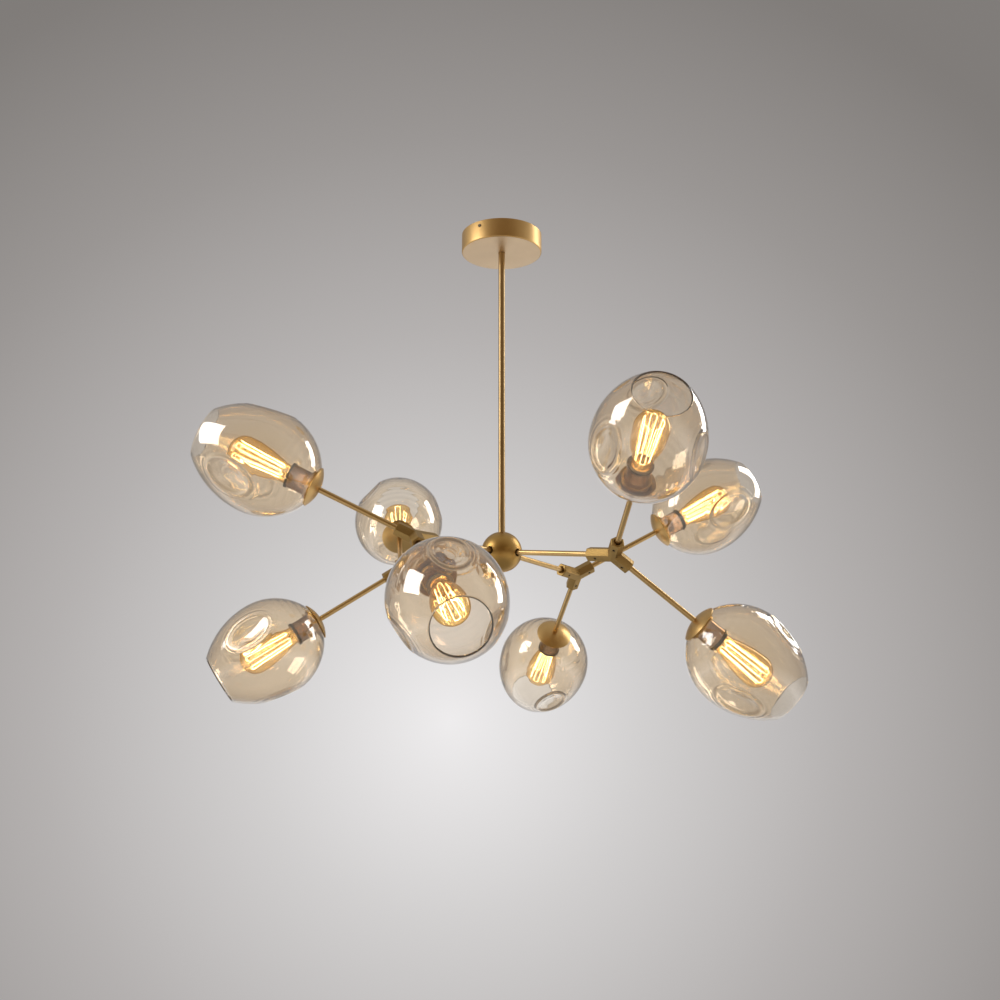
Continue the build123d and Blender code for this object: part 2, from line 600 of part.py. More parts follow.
def bulb_filament():
    """The caged filament: strands that zigzag about the rod, held by spokes at both ends."""
    corners = []
    for number in range(2 * FILAMENT_STRANDS):
        low = number % 2 == 0
        radius = FILAMENT_LOW_R if low else FILAMENT_HIGH_R
        angle = math.pi * number / FILAMENT_STRANDS
        height = FILAMENT_LOW if low else FILAMENT_HIGH
        corners.append(Vector(radius * math.cos(angle), radius * math.sin(angle), height))
    pieces = []
    for corner, following in zip(corners, corners[1:] + corners[:1]):
        hub = Vector(0, 0, corner.Z)
        pieces.append(wire_between(corner, following, FILAMENT_WIRE_R))
        pieces.append(wire_between(hub, corner, FILAMENT_WIRE_R))
        pieces.append(Pos(corner) * Sphere(FILAMENT_BEAD_R))
    cage = Part() + pieces
    for height in (FILAMENT_LOW, FILAMENT_HIGH):
        cage += rod(MOUNT_ROD_D, height - MOUNT_ROD_D / 2, height + MOUNT_ROD_D / 2)
    return cage - rod(MOUNT_ROD_D / 2, 0, BULB_LENGTH)


def make_bulb():
    """A filament bulb as it stands in its holder."""
    envelope = bulb_envelope(0) - bulb_envelope(BULB_GLASS)
    pieces = [envelope, bulb_base(), bulb_mount(), bulb_filament()]
    return [Pos(0, 0, HOLDER_END) * piece for piece in pieces]


# Write every node

def write_ceiling_and_stem():
    """The fixed pieces, the canopy, the stem and the ball."""
    collar, shoulder = make_stem_collar()
    stem, stem_top = make_stem(shoulder)
    ball_cap, ball_shell = make_ball()
    screw = make_canopy_screw()
    save("mounting_plate", make_mounting_plate())
    save("stem_collar", collar)
    save("collar_nut", make_collar_nut())
    save("terminal_block", make_terminal_block())
    save("canopy", make_canopy())
    save("canopy_screws", *[screw_place(azimuth) * screw for azimuth in CANOPY_SCREW_AZIMUTHS])
    save("stem", stem)
    save("ball_cap", ball_cap)
    save("ball_shell", ball_shell)
    save("ball_core", make_ball_core())
    core_grub = Pos(0, 0, CORE_GRUB_LENGTH) * grub_screw(CORE_GRUB_LENGTH)
    save("core_screws", *[core_grub_place(index) * core_grub for index in range(BRANCH_COUNT)])
    save("wiring", *make_wiring(stem_top))
    ball_arm = make_ball_arm()
    for index in range(BRANCH_COUNT):
        save(f"ball_arm_{index + 1}", branch_frame(index) * ball_arm)


def write_branches():
    """The hubs with their lamps. Lamp numbers run through the hubs, the upward lamp first."""
    hub = make_hub()
    hub_screws = make_hub_screws()
    pairs = {
        "lamp_arms": make_lamp_arm(),
        "lamp_wires": make_lamp_wire(),
        "shade_caps": make_shade_cap(),
        "lamp_holders": make_lamp_holder(),
        "shade_rings": make_shade_ring(),
    }
    shade = make_shade()
    bulb = make_bulb()
    for index in range(BRANCH_COUNT):
        frame = branch_frame(index)
        lamps = [frame * lamp_frame(side) for side in (-1, 1)]
        save(f"hub_{index + 1}", frame * hub)
        save(f"hub_screws_{index + 1}", *[frame * screw for screw in hub_screws])
        for name, piece in pairs.items():
            save(f"{name}_{index + 1}", *[lamp * piece for lamp in lamps])
        for side, lamp in enumerate(lamps):
            number = 2 * index + side
            save(f"shade_{number + 1}", lamp * Rot(0, 0, SHADE_TURNS[number]) * shade)
            save(f"bulb_{number + 1}", *[lamp * piece for piece in bulb])


write_ceiling_and_stem()
write_branches()
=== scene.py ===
# %% [markdown]
# # A branching glass chandelier
# This lesson dresses a chandelier whose construction is already modelled: a round ceiling canopy, a straight
# stem, a ball, four tubes with Y-shaped hubs, and eight lamps with dimpled glass shades and filament bulbs.
# The construction is loaded as a fixed frame. We never move it. We give its metal a finish, and we build the
# pieces that need more than a plain solid: glass, bulbs, caps, lamp holders and bevelled hubs.

# %% Load the frame
import json
import math
import bmesh
import bpy
import numpy as np
from mathutils import Matrix, Vector


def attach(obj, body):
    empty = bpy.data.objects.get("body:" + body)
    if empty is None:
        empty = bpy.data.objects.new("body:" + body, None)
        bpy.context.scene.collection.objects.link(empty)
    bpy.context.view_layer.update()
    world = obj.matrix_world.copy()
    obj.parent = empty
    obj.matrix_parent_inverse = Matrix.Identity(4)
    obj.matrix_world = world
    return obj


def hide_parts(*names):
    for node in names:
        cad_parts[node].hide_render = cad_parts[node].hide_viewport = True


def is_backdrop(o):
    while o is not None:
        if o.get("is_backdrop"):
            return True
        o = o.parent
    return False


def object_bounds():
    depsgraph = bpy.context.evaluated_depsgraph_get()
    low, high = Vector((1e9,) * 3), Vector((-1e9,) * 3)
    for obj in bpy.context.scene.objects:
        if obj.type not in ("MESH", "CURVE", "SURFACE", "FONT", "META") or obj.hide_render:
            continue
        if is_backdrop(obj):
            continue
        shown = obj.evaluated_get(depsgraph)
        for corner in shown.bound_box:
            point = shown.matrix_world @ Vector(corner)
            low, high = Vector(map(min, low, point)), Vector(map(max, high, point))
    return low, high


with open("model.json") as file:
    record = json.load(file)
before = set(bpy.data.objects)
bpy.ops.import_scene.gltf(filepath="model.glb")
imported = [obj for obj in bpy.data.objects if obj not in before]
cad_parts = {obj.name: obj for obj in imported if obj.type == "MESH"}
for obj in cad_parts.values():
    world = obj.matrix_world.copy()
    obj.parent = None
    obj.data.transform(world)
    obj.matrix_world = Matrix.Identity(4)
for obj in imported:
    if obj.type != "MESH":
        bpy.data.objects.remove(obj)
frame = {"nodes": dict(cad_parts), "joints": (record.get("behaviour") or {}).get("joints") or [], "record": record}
CAD_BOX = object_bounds()
NODES = frame["nodes"]
JOINTS = {joint["name"]: joint for joint in frame["joints"]}
MM = 0.001

# %% [markdown]
# ## Where each lamp sits
# A lamp is the same little assembly eight times over, so we model it once about its own axis and place it
# eight times. The joints tell us where. A bulb is drawn out along its lamp arm, so the axis of that joint
# is the arm's direction, and the hub's joint gives the point that the arm starts from. The two arms of a
# hub span its plane, so their cross product is the direction square to that plane.

# %% Lamp places
LAMP_COUNT = 8
HUB_COUNT = LAMP_COUNT // 2
LAMP_REACH = 156.0  # from a hub's centre to the rim plane of the shade's cap


def hub_of(number):
    """The hub that carries a lamp. The first two lamps share the first hub, and so on."""
    return (number + 1) // 2


def lamp_place(number):
    """A lamp's own frame: Z along its arm, X square to its hub, origin in the cap's rim plane."""
    hub = hub_of(number)
    up = Vector(JOINTS[f"bulb_pull_{2 * hub - 1}"]["axis"])
    down = Vector(JOINTS[f"bulb_pull_{2 * hub}"]["axis"])
    along = Vector(JOINTS[f"bulb_pull_{number}"]["axis"])
    square = up.cross(down).normalized()
    across = along.cross(square)
    place = Matrix((square, across, along)).transposed().to_4x4()
    place.translation = Vector(JOINTS[f"hub_turn_{hub}"]["pos_m"]) + along * LAMP_REACH * MM
    return place


LAMP_PLACES = {number: lamp_place(number) for number in range(1, LAMP_COUNT + 1)}
for number, place in LAMP_PLACES.items():
    print("lamp", number, "at", [round(value, 3) for value in place.translation])

# %% [markdown]
# ## The photograph's camera
# The view is from a little below the lamps, looking slightly up. A camera with a fairly long lens, about two
# metres away, gives the same gentle perspective. The small shift puts the optical axis where it belongs.

# %% Camera
CAMERA_AT = (-0.0006, -1.9826, -0.9349)
CAMERA_TILT = 13.5  # degrees above the horizon
CAMERA_LENS = 49.42
CAMERA_SENSOR = 36.0
CAMERA_SHIFT = (-0.0013, 0.021)

camera = bpy.data.objects.new("camera", bpy.data.cameras.new("camera"))
camera.data.lens = CAMERA_LENS
camera.data.sensor_width = CAMERA_SENSOR
camera.data.shift_x, camera.data.shift_y = CAMERA_SHIFT
camera.location = CAMERA_AT
camera.rotation_euler = (math.radians(90 + CAMERA_TILT), 0, 0)
bpy.context.scene.collection.objects.link(camera)
bpy.context.scene.camera = camera
print("camera:", camera.data.lens, "mm lens at", CAMERA_AT)

# %% [markdown]
# ## Helpers for shader trees
# A finish in Blender is a tree of nodes. Building one repeats the same few moves: start a material, add a
# node, link two sockets, fade between tones. Four helpers make them, so that a finish below stays short.

# %% Shader helpers
def new_material(name, **settings):
    """A material, its tree and its main shader. Settings name sockets, with underscores for spaces."""
    material = bpy.data.materials.new(name)
    material.use_nodes = True
    shader = material.node_tree.nodes["Principled BSDF"]
    for socket, value in settings.items():
        shader.inputs[socket.replace("_", " ")].default_value = value
    return material, material.node_tree, shader


def add(tree, kind, **settings):
    """A new shader node. Settings name its attributes, or its inputs with underscores for spaces."""
    made = tree.nodes.new(kind)
    for name, value in settings.items():
        if hasattr(made, name):
            setattr(made, name, value)
        else:
            made.inputs[name.replace("_", " ")].default_value = value
    return made


def wire(tree, *sockets):
    """Link each output to the input that follows it."""
    for output, target in zip(sockets[::2], sockets[1::2]):
        tree.links.new(output, target)


def ramp(tree, factor, stops):
    """A colour ramp with the given (position, grey or colour) stops."""
    made = add(tree, "ShaderNodeValToRGB")
    while len(made.color_ramp.elements) < len(stops):
        made.color_ramp.elements.new(0.5)
    for element, (position, tone) in zip(made.color_ramp.elements, stops):
        element.position = position
        element.color = (*tone, 1) if isinstance(tone, tuple) else (tone, tone, tone, 1)
    wire(tree, factor, made.inputs["Fac"])
    return made.outputs["Color"]


print("shader helpers: new_material, add, wire, ramp")

# %% [markdown]
# ## A backdrop that fades from light to grey
# Glass has hardly any colour of its own: it shows what is around it, bent and tinted. So the backdrop comes
# first. A painted wall would do, but it would stand in the way when we walk round the lamp. A world whose
# colour fades with the angle from one bright direction has no such limit, and metal and glass see it too.
# Mirrors need a world of their own. Satin brass looks like brass because it shows a dark, warm room in front
# of it and pale walls at its sides, and the canopy's underside shows a pale table. Rims of glass bend the
# view far to the side, where dark flags draw them as dark lines. Rays that only carry light to matt surfaces
# get an even grey, so that a bright backdrop does not change the exposure.

# %% World tones
BRIGHT_DIRECTION = Vector((-0.037, 1.006, 0.092)).normalized()
BACKDROP_STOPS = (  # angle from the bright direction, in degrees, and the backdrop's tone there
    (0.0, (0.86, 0.845, 0.85)),
    (8.0, (0.64, 0.625, 0.622)),
    (16.0, (0.462, 0.442, 0.436)),
    (24.0, (0.322, 0.303, 0.294)),
    (32.0, (0.216, 0.202, 0.192)),
    (60.0, (0.22, 0.21, 0.20)),
    (110.0, (0.42, 0.405, 0.395)),
    (180.0, (0.46, 0.445, 0.435)),
)
THROUGH_STOPS = (  # the same for what is seen bent through glass
    (0.0, (0.86, 0.845, 0.85)),
    (16.0, (0.462, 0.442, 0.436)),
    (32.0, (0.216, 0.202, 0.192)),
    (50.0, (0.13, 0.097, 0.063)),
    (70.0, (0.13, 0.097, 0.063)),
    (90.0, (0.34, 0.325, 0.315)),
    (180.0, (0.46, 0.445, 0.435)),
)
MIRROR_STOPS = (  # and for metal and the shine on glass
    (0.0, (0.86, 0.845, 0.85)),
    (16.0, (0.46, 0.44, 0.435)),
    (32.0, (0.30, 0.285, 0.275)),
    (60.0, (0.50, 0.48, 0.46)),
    (100.0, (0.54, 0.51, 0.48)),
    (130.0, (0.37, 0.30, 0.22)),
    (150.0, (0.19, 0.12, 0.05)),
    (180.0, (0.17, 0.105, 0.04)),
)
TABLE_STOPS = ((0.30, (0.62, 0.61, 0.60)), (0.44, (0.0, 0.0, 0.0)))  # 0 is straight down, 0.5 the horizon
FILL_TONE = 0.42
print("world: bright towards", [round(value, 2) for value in BRIGHT_DIRECTION])


# %% World
def bright_angle(tree, ray):
    """The angle between a ray and the bright direction, as a share of half a turn."""
    facing = add(tree, "ShaderNodeVectorMath", operation="DOT_PRODUCT")
    facing.inputs[1].default_value = BRIGHT_DIRECTION
    angle = add(tree, "ShaderNodeMath", operation="ARCCOSINE")
    share = add(tree, "ShaderNodeMath", operation="DIVIDE")
    share.inputs[1].default_value = math.pi
    wire(tree, ray, facing.inputs[0], facing.outputs["Value"], angle.inputs[0])
    wire(tree, angle.outputs[0], share.inputs[0])
    return share.outputs[0]


def ray_height(tree, ray):
    """How high a ray points: 0 is straight down, 1 is straight up."""
    parts = add(tree, "ShaderNodeSeparateXYZ")
    rise = add(tree, "ShaderNodeMapRange")
    rise.inputs["From Min"].default_value = -1.0
    wire(tree, ray, parts.inputs[0], parts.outputs["Z"], rise.inputs["Value"])
    return rise.outputs["Result"]


def background(tree, colour):
    """A background that takes its colour from a socket."""
    shader = add(tree, "ShaderNodeBackground")
    wire(tree, colour, shader.inputs["Color"])
    return shader.outputs[0]


def make_world():
    """The backdrop for eyes, darker sides through glass, a room for mirrors, and an even fill."""
    world = bpy.data.worlds.new("studio")
    world.use_nodes = True
    tree = world.node_tree
    tree.nodes.clear()
    ray = add(tree, "ShaderNodeTexCoord").outputs["Generated"]
    angle = bright_angle(tree, ray)
    backdrop, through, room = [
        background(tree, ramp(tree, angle, [(degrees / 180, tone) for degrees, tone in stops]))
        for stops in (BACKDROP_STOPS, THROUGH_STOPS, MIRROR_STOPS)
    ]
    table = background(tree, ramp(tree, ray_height(tree, ray), TABLE_STOPS))
    mirrored = add(tree, "ShaderNodeAddShader")
    wire(tree, room, mirrored.inputs[0], table, mirrored.inputs[1])
    shown = add(tree, "ShaderNodeBackground", Color=(FILL_TONE, FILL_TONE, FILL_TONE, 1)).outputs[0]
    path = add(tree, "ShaderNodeLightPath")
    kinds = (
        ("Is Glossy Ray", mirrored.outputs[0]),
        ("Is Transmission Ray", through),
        ("Is Camera Ray", backdrop),
    )
    for kind, shader in kinds:
        either = add(tree, "ShaderNodeMixShader")
        wire(tree, path.outputs[kind], either.inputs["Fac"])
        wire(tree, shown, either.inputs[1], shader, either.inputs[2])
        shown = either.outputs[0]
    wire(tree, shown, add(tree, "ShaderNodeOutputWorld").inputs["Surface"])
    bpy.context.scene.world = world
    print("world:", len(tree.nodes), "nodes")


make_world()
bpy.context.scene.view_settings.view_transform = "Standard"

# %% [markdown]
# ## Softboxes
# The white windows in the glass are reflections of two large softboxes. One stands at the left, a little in
# front and above. The other is a tall strip at the right, a little behind. Their size sets the size of the
# windows, so they are modelled as area lights of a real size. They stay out of the camera's own view, and
# they hang high, so that a camera level with the lamps or above them sees neither through the glass.

# %% Lights
SUBJECT = Vector((0, 0, -0.45))  # the middle of the lamps


def softbox(name, at, width, height, radiance):
    """A rectangular lamp that faces the subject. Radiance is the brightness of its face."""
    light = bpy.data.lights.new(name, "AREA")
    light.shape = "RECTANGLE"
    light.size, light.size_y = width, height
    light.energy = math.pi * width * height * radiance
    lamp = bpy.data.objects.new(name, light)
    lamp.location = at
    lamp.rotation_euler = (SUBJECT - Vector(at)).to_track_quat("-Z", "Y").to_euler()
    lamp.visible_camera = False
    bpy.context.scene.collection.objects.link(lamp)
    print("softbox:", name, width, "x", height, "m,", round(light.energy, 1), "W")


softbox("left_softbox", (-1.35, -0.45, 0.15), width=0.76, height=0.76, radiance=5.0)
softbox("right_strip", (1.30, 0.60, 0.25), width=0.45, height=1.1, radiance=5.5)

# %% [markdown]
# ## The floor
# The lamp hangs in the air, so the floor is far below it. It only has to be there, pale and plain, for the
# views from above, and to send some light up to the underside of the canopy. Its edge fades away, because a
# hard rim would look like a stage.

# %% Floor
FLOOR_DEPTH = 2.6
FLOOR_RADIUS = 4.0
FLOOR_SIDES = 64
FLOOR_TONE = (0.66, 0.645, 0.635)
FLOOR_ROUGHNESS = 0.9
FLOOR_SOLID_SHARE = 0.35  # of the radius; the rest fades out


def floor_finish():
    """A pale matt finish that fades out towards the rim."""
    material, tree, shader = new_material("floor", Base_Color=(*FLOOR_TONE, 1), Roughness=FLOOR_ROUGHNESS)
    place = add(tree, "ShaderNodeTexCoord").outputs["Object"]
    distance = add(tree, "ShaderNodeVectorMath", operation="LENGTH")
    share = add(tree, "ShaderNodeMath", operation="DIVIDE")
    share.inputs[1].default_value = FLOOR_RADIUS
    wire(tree, place, distance.inputs[0], distance.outputs["Value"], share.inputs[0])
    fade = ramp(tree, share.outputs[0], [(FLOOR_SOLID_SHARE, 1.0), (1.0, 0.0)])
    wire(tree, fade, shader.inputs["Alpha"])
    return material


def make_floor():
    """A pale disc far below the lamp."""
    mesh = bpy.data.meshes.new("floor")
    shape = bmesh.new()
    bmesh.ops.create_circle(shape, cap_ends=True, segments=FLOOR_SIDES, radius=FLOOR_RADIUS)
    shape.to_mesh(mesh)
    shape.free()
    mesh.materials.append(floor_finish())
    floor = bpy.data.objects.new("floor", mesh)
    floor.location.z = -FLOOR_DEPTH
    bpy.context.scene.collection.objects.link(floor)
    floor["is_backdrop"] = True


make_floor()
print("floor:", FLOOR_DEPTH, "m below the ceiling")

# %% [markdown]
# ## Patterns that break up a surface
# No real surface has one colour and one gloss all over. Pictures could carry the changes, but they must be
# wrapped round each piece and blur close up. Noise computed from the place on the piece needs no wrapping
# and stays sharp, so it drives the tones, the gloss and the grain of every finish here.

# %% Surface patterns
NOISE_MIDDLE = (0.3, 0.7)  # most values of a noise pattern lie between these
GRAIN_STRENGTH = 0.35


def noise(tree, scale, detail):
    """A noise pattern in the piece's own space, with a scale per metre."""
    place = add(tree, "ShaderNodeTexCoord").outputs["Object"]
    pattern = add(tree, "ShaderNodeTexNoise", Scale=scale, Detail=detail)
    wire(tree, place, pattern.inputs["Vector"])
    return pattern.outputs[0]


def spread(tree, pattern, middle, reach):
    """A noise pattern stretched to the values within reach of a middle one."""
    made = add(tree, "ShaderNodeMapRange")
    made.inputs["From Min"].default_value, made.inputs["From Max"].default_value = NOISE_MIDDLE
    made.inputs["To Min"].default_value = middle - reach
    made.inputs["To Max"].default_value = middle + reach
    wire(tree, pattern, made.inputs["Value"])
    return made.outputs["Result"]


def grain_bump(tree, shader, pattern, depth, strength=GRAIN_STRENGTH):
    """Let a pattern raise the surface a little."""
    bump = add(tree, "ShaderNodeBump", Strength=strength, Distance=depth)
    wire(tree, pattern, bump.inputs["Height"], bump.outputs["Normal"], shader.inputs["Normal"])


print("surface patterns: noise, spread, grain_bump")

# %% [markdown]
# ## Brass
# All the metalwork is brass with a satin lacquer. Real satin brass is never one colour. Its tone drifts
# slowly over a hand's width, the blasting leaves a fine grain that breaks up the gloss, and edges are rubbed
# a little brighter. One function makes every brass in the lamp from two tones and a roughness. Each piece
# gets its own tones, set to how bright that piece looks under the lamps, so the lighter and darker copies
# are partly painted light and painted shade. The hubs are the dullest and show the rubbed edges, and the
# ball has the deepest colour.

# %% Brass
GRAIN_SCALE = 1600.0  # grains per metre
GRAIN_DEPTH = 0.00004
CLOUD_SCALE = 16.0
CLOUD_ENDS = (0.35, 0.68)  # the noise values that give the light and the deep tone
GLOSS_DRIFT = 0.06
RUBBED_ENDS = (0.53, 0.6)  # the pointiness at which an edge starts to shine, and shines in full
RUBBED_GAIN = 1.35


def rubbed_edges(tree, tone, light, amount):
    """A tone that turns brighter where the piece has an outer edge."""
    edge = add(tree, "ShaderNodeNewGeometry").outputs["Pointiness"]
    bright = tuple(min(1.0, value * RUBBED_GAIN) for value in light)
    worn = add(tree, "ShaderNodeMix", data_type="RGBA")
    wire(tree, ramp(tree, edge, list(zip(RUBBED_ENDS, (0.0, amount)))), worn.inputs[0])
    wire(tree, tone, worn.inputs[6])  # sockets 6 and 7 are the two colours to mix
    worn.inputs[7].default_value = (*bright, 1)
    return worn.outputs[2]


def brass(name, light, deep, roughness, rubbed=0.0):
    """Satin brass: tones that drift from light to deep, grain in the gloss, and rubbed bright edges."""
    material, tree, shader = new_material(name, Metallic=1.0)
    grain = noise(tree, GRAIN_SCALE, detail=2.0)
    tone = ramp(tree, noise(tree, CLOUD_SCALE, detail=5.0), list(zip(CLOUD_ENDS, (light, deep))))
    if rubbed:
        tone = rubbed_edges(tree, tone, light, rubbed)
    wire(tree, tone, shader.inputs["Base Color"])
    wire(tree, spread(tree, grain, roughness, GLOSS_DRIFT), shader.inputs["Roughness"])
    grain_bump(tree, shader, grain, GRAIN_DEPTH)
    return material


# Lighter and darker copies of one brass: part of each piece's tone is painted light and painted shade for how
# brightly it is lit.
BRASS_TONES = {  # light tone, deep tone, roughness, and the strength of rubbed edges
    "canopy_brass": ((0.60, 0.385, 0.155), (0.53, 0.335, 0.13), 0.40),
    # painted reflection: the flat underside gets a paler copy of the canopy's brass for the pale light it mirrors
    "canopy_painted_reflection_brass": ((0.69, 0.53, 0.35), (0.63, 0.48, 0.315), 0.40),
    "stem_brass": ((0.43, 0.295, 0.14), (0.37, 0.25, 0.115), 0.36),
    "arm_brass": ((0.62, 0.42, 0.185), (0.54, 0.36, 0.15), 0.30),
    "ball_brass": ((0.50, 0.305, 0.092), (0.43, 0.26, 0.078), 0.36),
    "hub_brass": ((0.385, 0.25, 0.088), (0.335, 0.215, 0.075), 0.50, 0.5),
    "cap_brass": ((0.63, 0.41, 0.165), (0.52, 0.335, 0.13), 0.34),
    "ring_brass": ((0.68, 0.46, 0.18), (0.58, 0.38, 0.14), 0.18),
    "bulb_base": ((0.74, 0.52, 0.24), (0.62, 0.42, 0.18), 0.24),
}
FINISH = {name: brass(name, *tones) for name, tones in BRASS_TONES.items()}
print("brass:", ", ".join(FINISH))

# %% [markdown]
# ## The other solid finishes
# Inside the canopy there is zinc-plated steel and a pale plastic connector. The screws are blackened. The
# lamp holders are bronze outside, with a black rim and a copper screw shell inside that catches the bulb's
# light. The cable jackets are matt rubber, and the hooks in the bulbs are bare steel wire.

# %% Steel, plastic, rubber and bronze
FINISH_ENDS = (0.35, 0.65)  # the noise values that give the light and the deep tone
FINISH_DRIFT = 0.05


def plain_finish(name, light, deep, metallic, roughness, scale, depth):
    """A finish with two tones in a fine pattern, which also breaks up its gloss."""
    material, tree, shader = new_material(name, Metallic=metallic)
    pattern = noise(tree, scale, detail=4.0)
    wire(tree, ramp(tree, pattern, list(zip(FINISH_ENDS, (light, deep)))), shader.inputs["Base Color"])
    wire(tree, spread(tree, pattern, roughness, FINISH_DRIFT), shader.inputs["Roughness"])
    grain_bump(tree, shader, pattern, depth)
    return material


PLAIN_TONES = {  # light tone, deep tone, metallic, roughness, pattern per metre, grain depth
    "plate_steel": ((0.66, 0.67, 0.68), (0.50, 0.51, 0.53), 1.0, 0.38, 60, 0.00005),
    "screw_steel": ((0.16, 0.13, 0.09), (0.09, 0.07, 0.05), 1.0, 0.45, 900, 0.00005),
    "terminal_plastic": ((0.84, 0.84, 0.79), (0.76, 0.75, 0.70), 0.0, 0.5, 400, 0.00004),
    "cable_jacket": ((0.045, 0.044, 0.043), (0.025, 0.024, 0.023), 0.0, 0.6, 700, 0.00006),
    "holder_bronze": ((0.50, 0.34, 0.23), (0.40, 0.26, 0.17), 1.0, 0.11, 90, 0.00001),
    "holder_rim": ((0.022, 0.018, 0.015), (0.012, 0.010, 0.009), 0.0, 0.32, 500, 0.00003),
    "holder_copper": ((0.80, 0.40, 0.18), (0.62, 0.29, 0.12), 1.0, 0.30, 250, 0.00003),
    "spoke_steel": ((0.45, 0.40, 0.34), (0.30, 0.26, 0.21), 1.0, 0.35, 500, 0.00003),
}
FINISH |= {name: plain_finish(name, *tones) for name, tones in PLAIN_TONES.items()}
print("solid finishes:", ", ".join(PLAIN_TONES))

# %% [markdown]
# ## Champagne glass
# The shades are blown from soda glass with a champagne tint. A tint can be painted on, but real colour is
# in the glass, so light that runs far through the wall, as at the edge of the shade, comes out browner. A
# Volume Absorption inside a closed wall does that. A blown surface is never quite even, so a faint, slow
# wave bends the reflections. The faces have a lustre, a warm film that shines more than plain glass and
# scatters a little light. So the coat has a higher index than the glass, and the glass is not fully clear.

# %% Glass
SHADE_INDEX = 1.5
SHADE_ABSORPTION = (0.90, 0.62, 0.10)
SHADE_DENSITY = 62.0
SHADE_CLEARNESS = 0.995  # the rest of the light is scattered by the film on the faces
SHADE_FILM = (1.0, 0.95, 0.875)
SHADE_LUSTRE = 1.0
SHADE_LUSTRE_INDEX = 1.72
BULB_INDEX = 1.45
BULB_ABSORPTION = (0.97, 0.75, 0.08)
BULB_DENSITY = 520.0
BULB_GLOW = (1.0, 0.50, 0.10)
BULB_GLOW_STRENGTH = 0.03
STALK_ABSORPTION = (0.95, 0.97, 0.95)
STALK_DENSITY = 20.0


def glass(name, index, absorption, density, wave_scale, wave_depth, **face):
    """Clear tinted glass. Its colour is inside it, and its faces wave a little."""
    clear = {"Base_Color": (1, 1, 1, 1), "Roughness": 0.0, "IOR": index, "Transmission_Weight": 1.0}
    material, tree, shader = new_material(name, **{**clear, **face})
    grain_bump(tree, shader, noise(tree, wave_scale, detail=2.0), wave_depth, strength=1.0)
    inside = add(tree, "ShaderNodeVolumeAbsorption", Color=(*absorption, 1), Density=density)
    wire(tree, inside.outputs[0], tree.nodes["Material Output"].inputs["Volume"])
    return material


FINISH["shade_glass"] = glass(
    "shade_glass", SHADE_INDEX, SHADE_ABSORPTION, SHADE_DENSITY, wave_scale=30, wave_depth=0.0006,
    Base_Color=(*SHADE_FILM, 1), Transmission_Weight=SHADE_CLEARNESS,
    Coat_Weight=SHADE_LUSTRE, Coat_IOR=SHADE_LUSTRE_INDEX, Coat_Roughness=0.0)
FINISH["bulb_glass"] = glass(
    "bulb_glass", BULB_INDEX, BULB_ABSORPTION, BULB_DENSITY, wave_scale=60, wave_depth=0.0001,
    Emission_Color=(*BULB_GLOW, 1), Emission_Strength=BULB_GLOW_STRENGTH)
FINISH["stalk_glass"] = glass(
    "stalk_glass", BULB_INDEX, STALK_ABSORPTION, STALK_DENSITY, wave_scale=90, wave_depth=0.0001)
print("glass: shade density", SHADE_DENSITY, "per metre, bulb density", BULB_DENSITY)

# %% [markdown]
# ## Glowing wire
# The filament is a thin carbon wire that runs up and down a cage of hooks. It is far brighter than anything
# around it, so the picture shows it nearly white, and its own colour only shows in its reflections. The wire
# is a little cooler where it touches a hook, which a slow noise along it suggests.

# %% Filament glow
FILAMENT_HOT = (1.0, 0.86, 0.58)
FILAMENT_COOL = (1.0, 0.74, 0.38)
FILAMENT_STRENGTH = 16.0
FILAMENT_CARBON = (0.1, 0.06, 0.03)
HEAT_SCALE = 120.0
HEAT_ENDS = (0.35, 0.6)  # the noise values that give the cool and the hot tone


def glowing_wire():
    """An emitting finish whose colour drifts a little along the wire."""
    material, tree, shader = new_material(
        "filament", Base_Color=(*FILAMENT_CARBON, 1), Roughness=0.5, Emission_Strength=FILAMENT_STRENGTH)
    pattern = noise(tree, HEAT_SCALE, detail=2.0)
    heat = ramp(tree, pattern, list(zip(HEAT_ENDS, (FILAMENT_COOL, FILAMENT_HOT))))
    wire(tree, heat, shader.inputs["Emission Color"])
    material.cycles.emission_sampling = "NONE"
    return material


FINISH["filament"] = glowing_wire()
print("filament: strength", FILAMENT_STRENGTH)

# %% [markdown]
# ## Finish the frame's own pieces
# Tubes, screws, plates and the ball are already the right shape, so each keeps its solid and only takes a
# finish. The name of the slot in the record says which one.

# %% Dress the solids
def dress(piece, finish):
    """Give a piece a finish in place of the one it has."""
    piece.data.materials.clear()
    piece.data.materials.append(FINISH[finish])


for part in frame["record"]["subparts"]:
    dress(NODES[part["node"]], part["material_slot"])
print("dressed", len(NODES), "solids")

# %% [markdown]
# ## Turned pieces
# Almost everything in a lamp is turned on a lathe or blown round a pipe, so it is a curve spun about an
# axis. We write the curve as a few corners, round those that a maker would break, and spin it. A Screw
# modifier could spin it too. Plain code is chosen because threads and dents then only need the points moved.

# %% Outlines and the lathe
TURNS = 96


def rounded(corners, steps):
    """An outline in millimetres from (radius, height, rounding) corners of a closed section."""
    outline = []
    for number, (x, z, rounding) in enumerate(corners):
        here = Vector((x, z))
        before = Vector(corners[number - 1][:2]) - here
        after = Vector(corners[(number + 1) % len(corners)][:2]) - here
        if not rounding:
            outline.append(here)
            continue
        start = here + before.normalized() * min(rounding, before.length / 2)
        end = here + after.normalized() * min(rounding, after.length / 2)
        for step in range(steps + 1):
            t = step / steps
            outline.append(start * (1 - t) ** 2 + here * 2 * t * (1 - t) + end * t**2)
    return outline


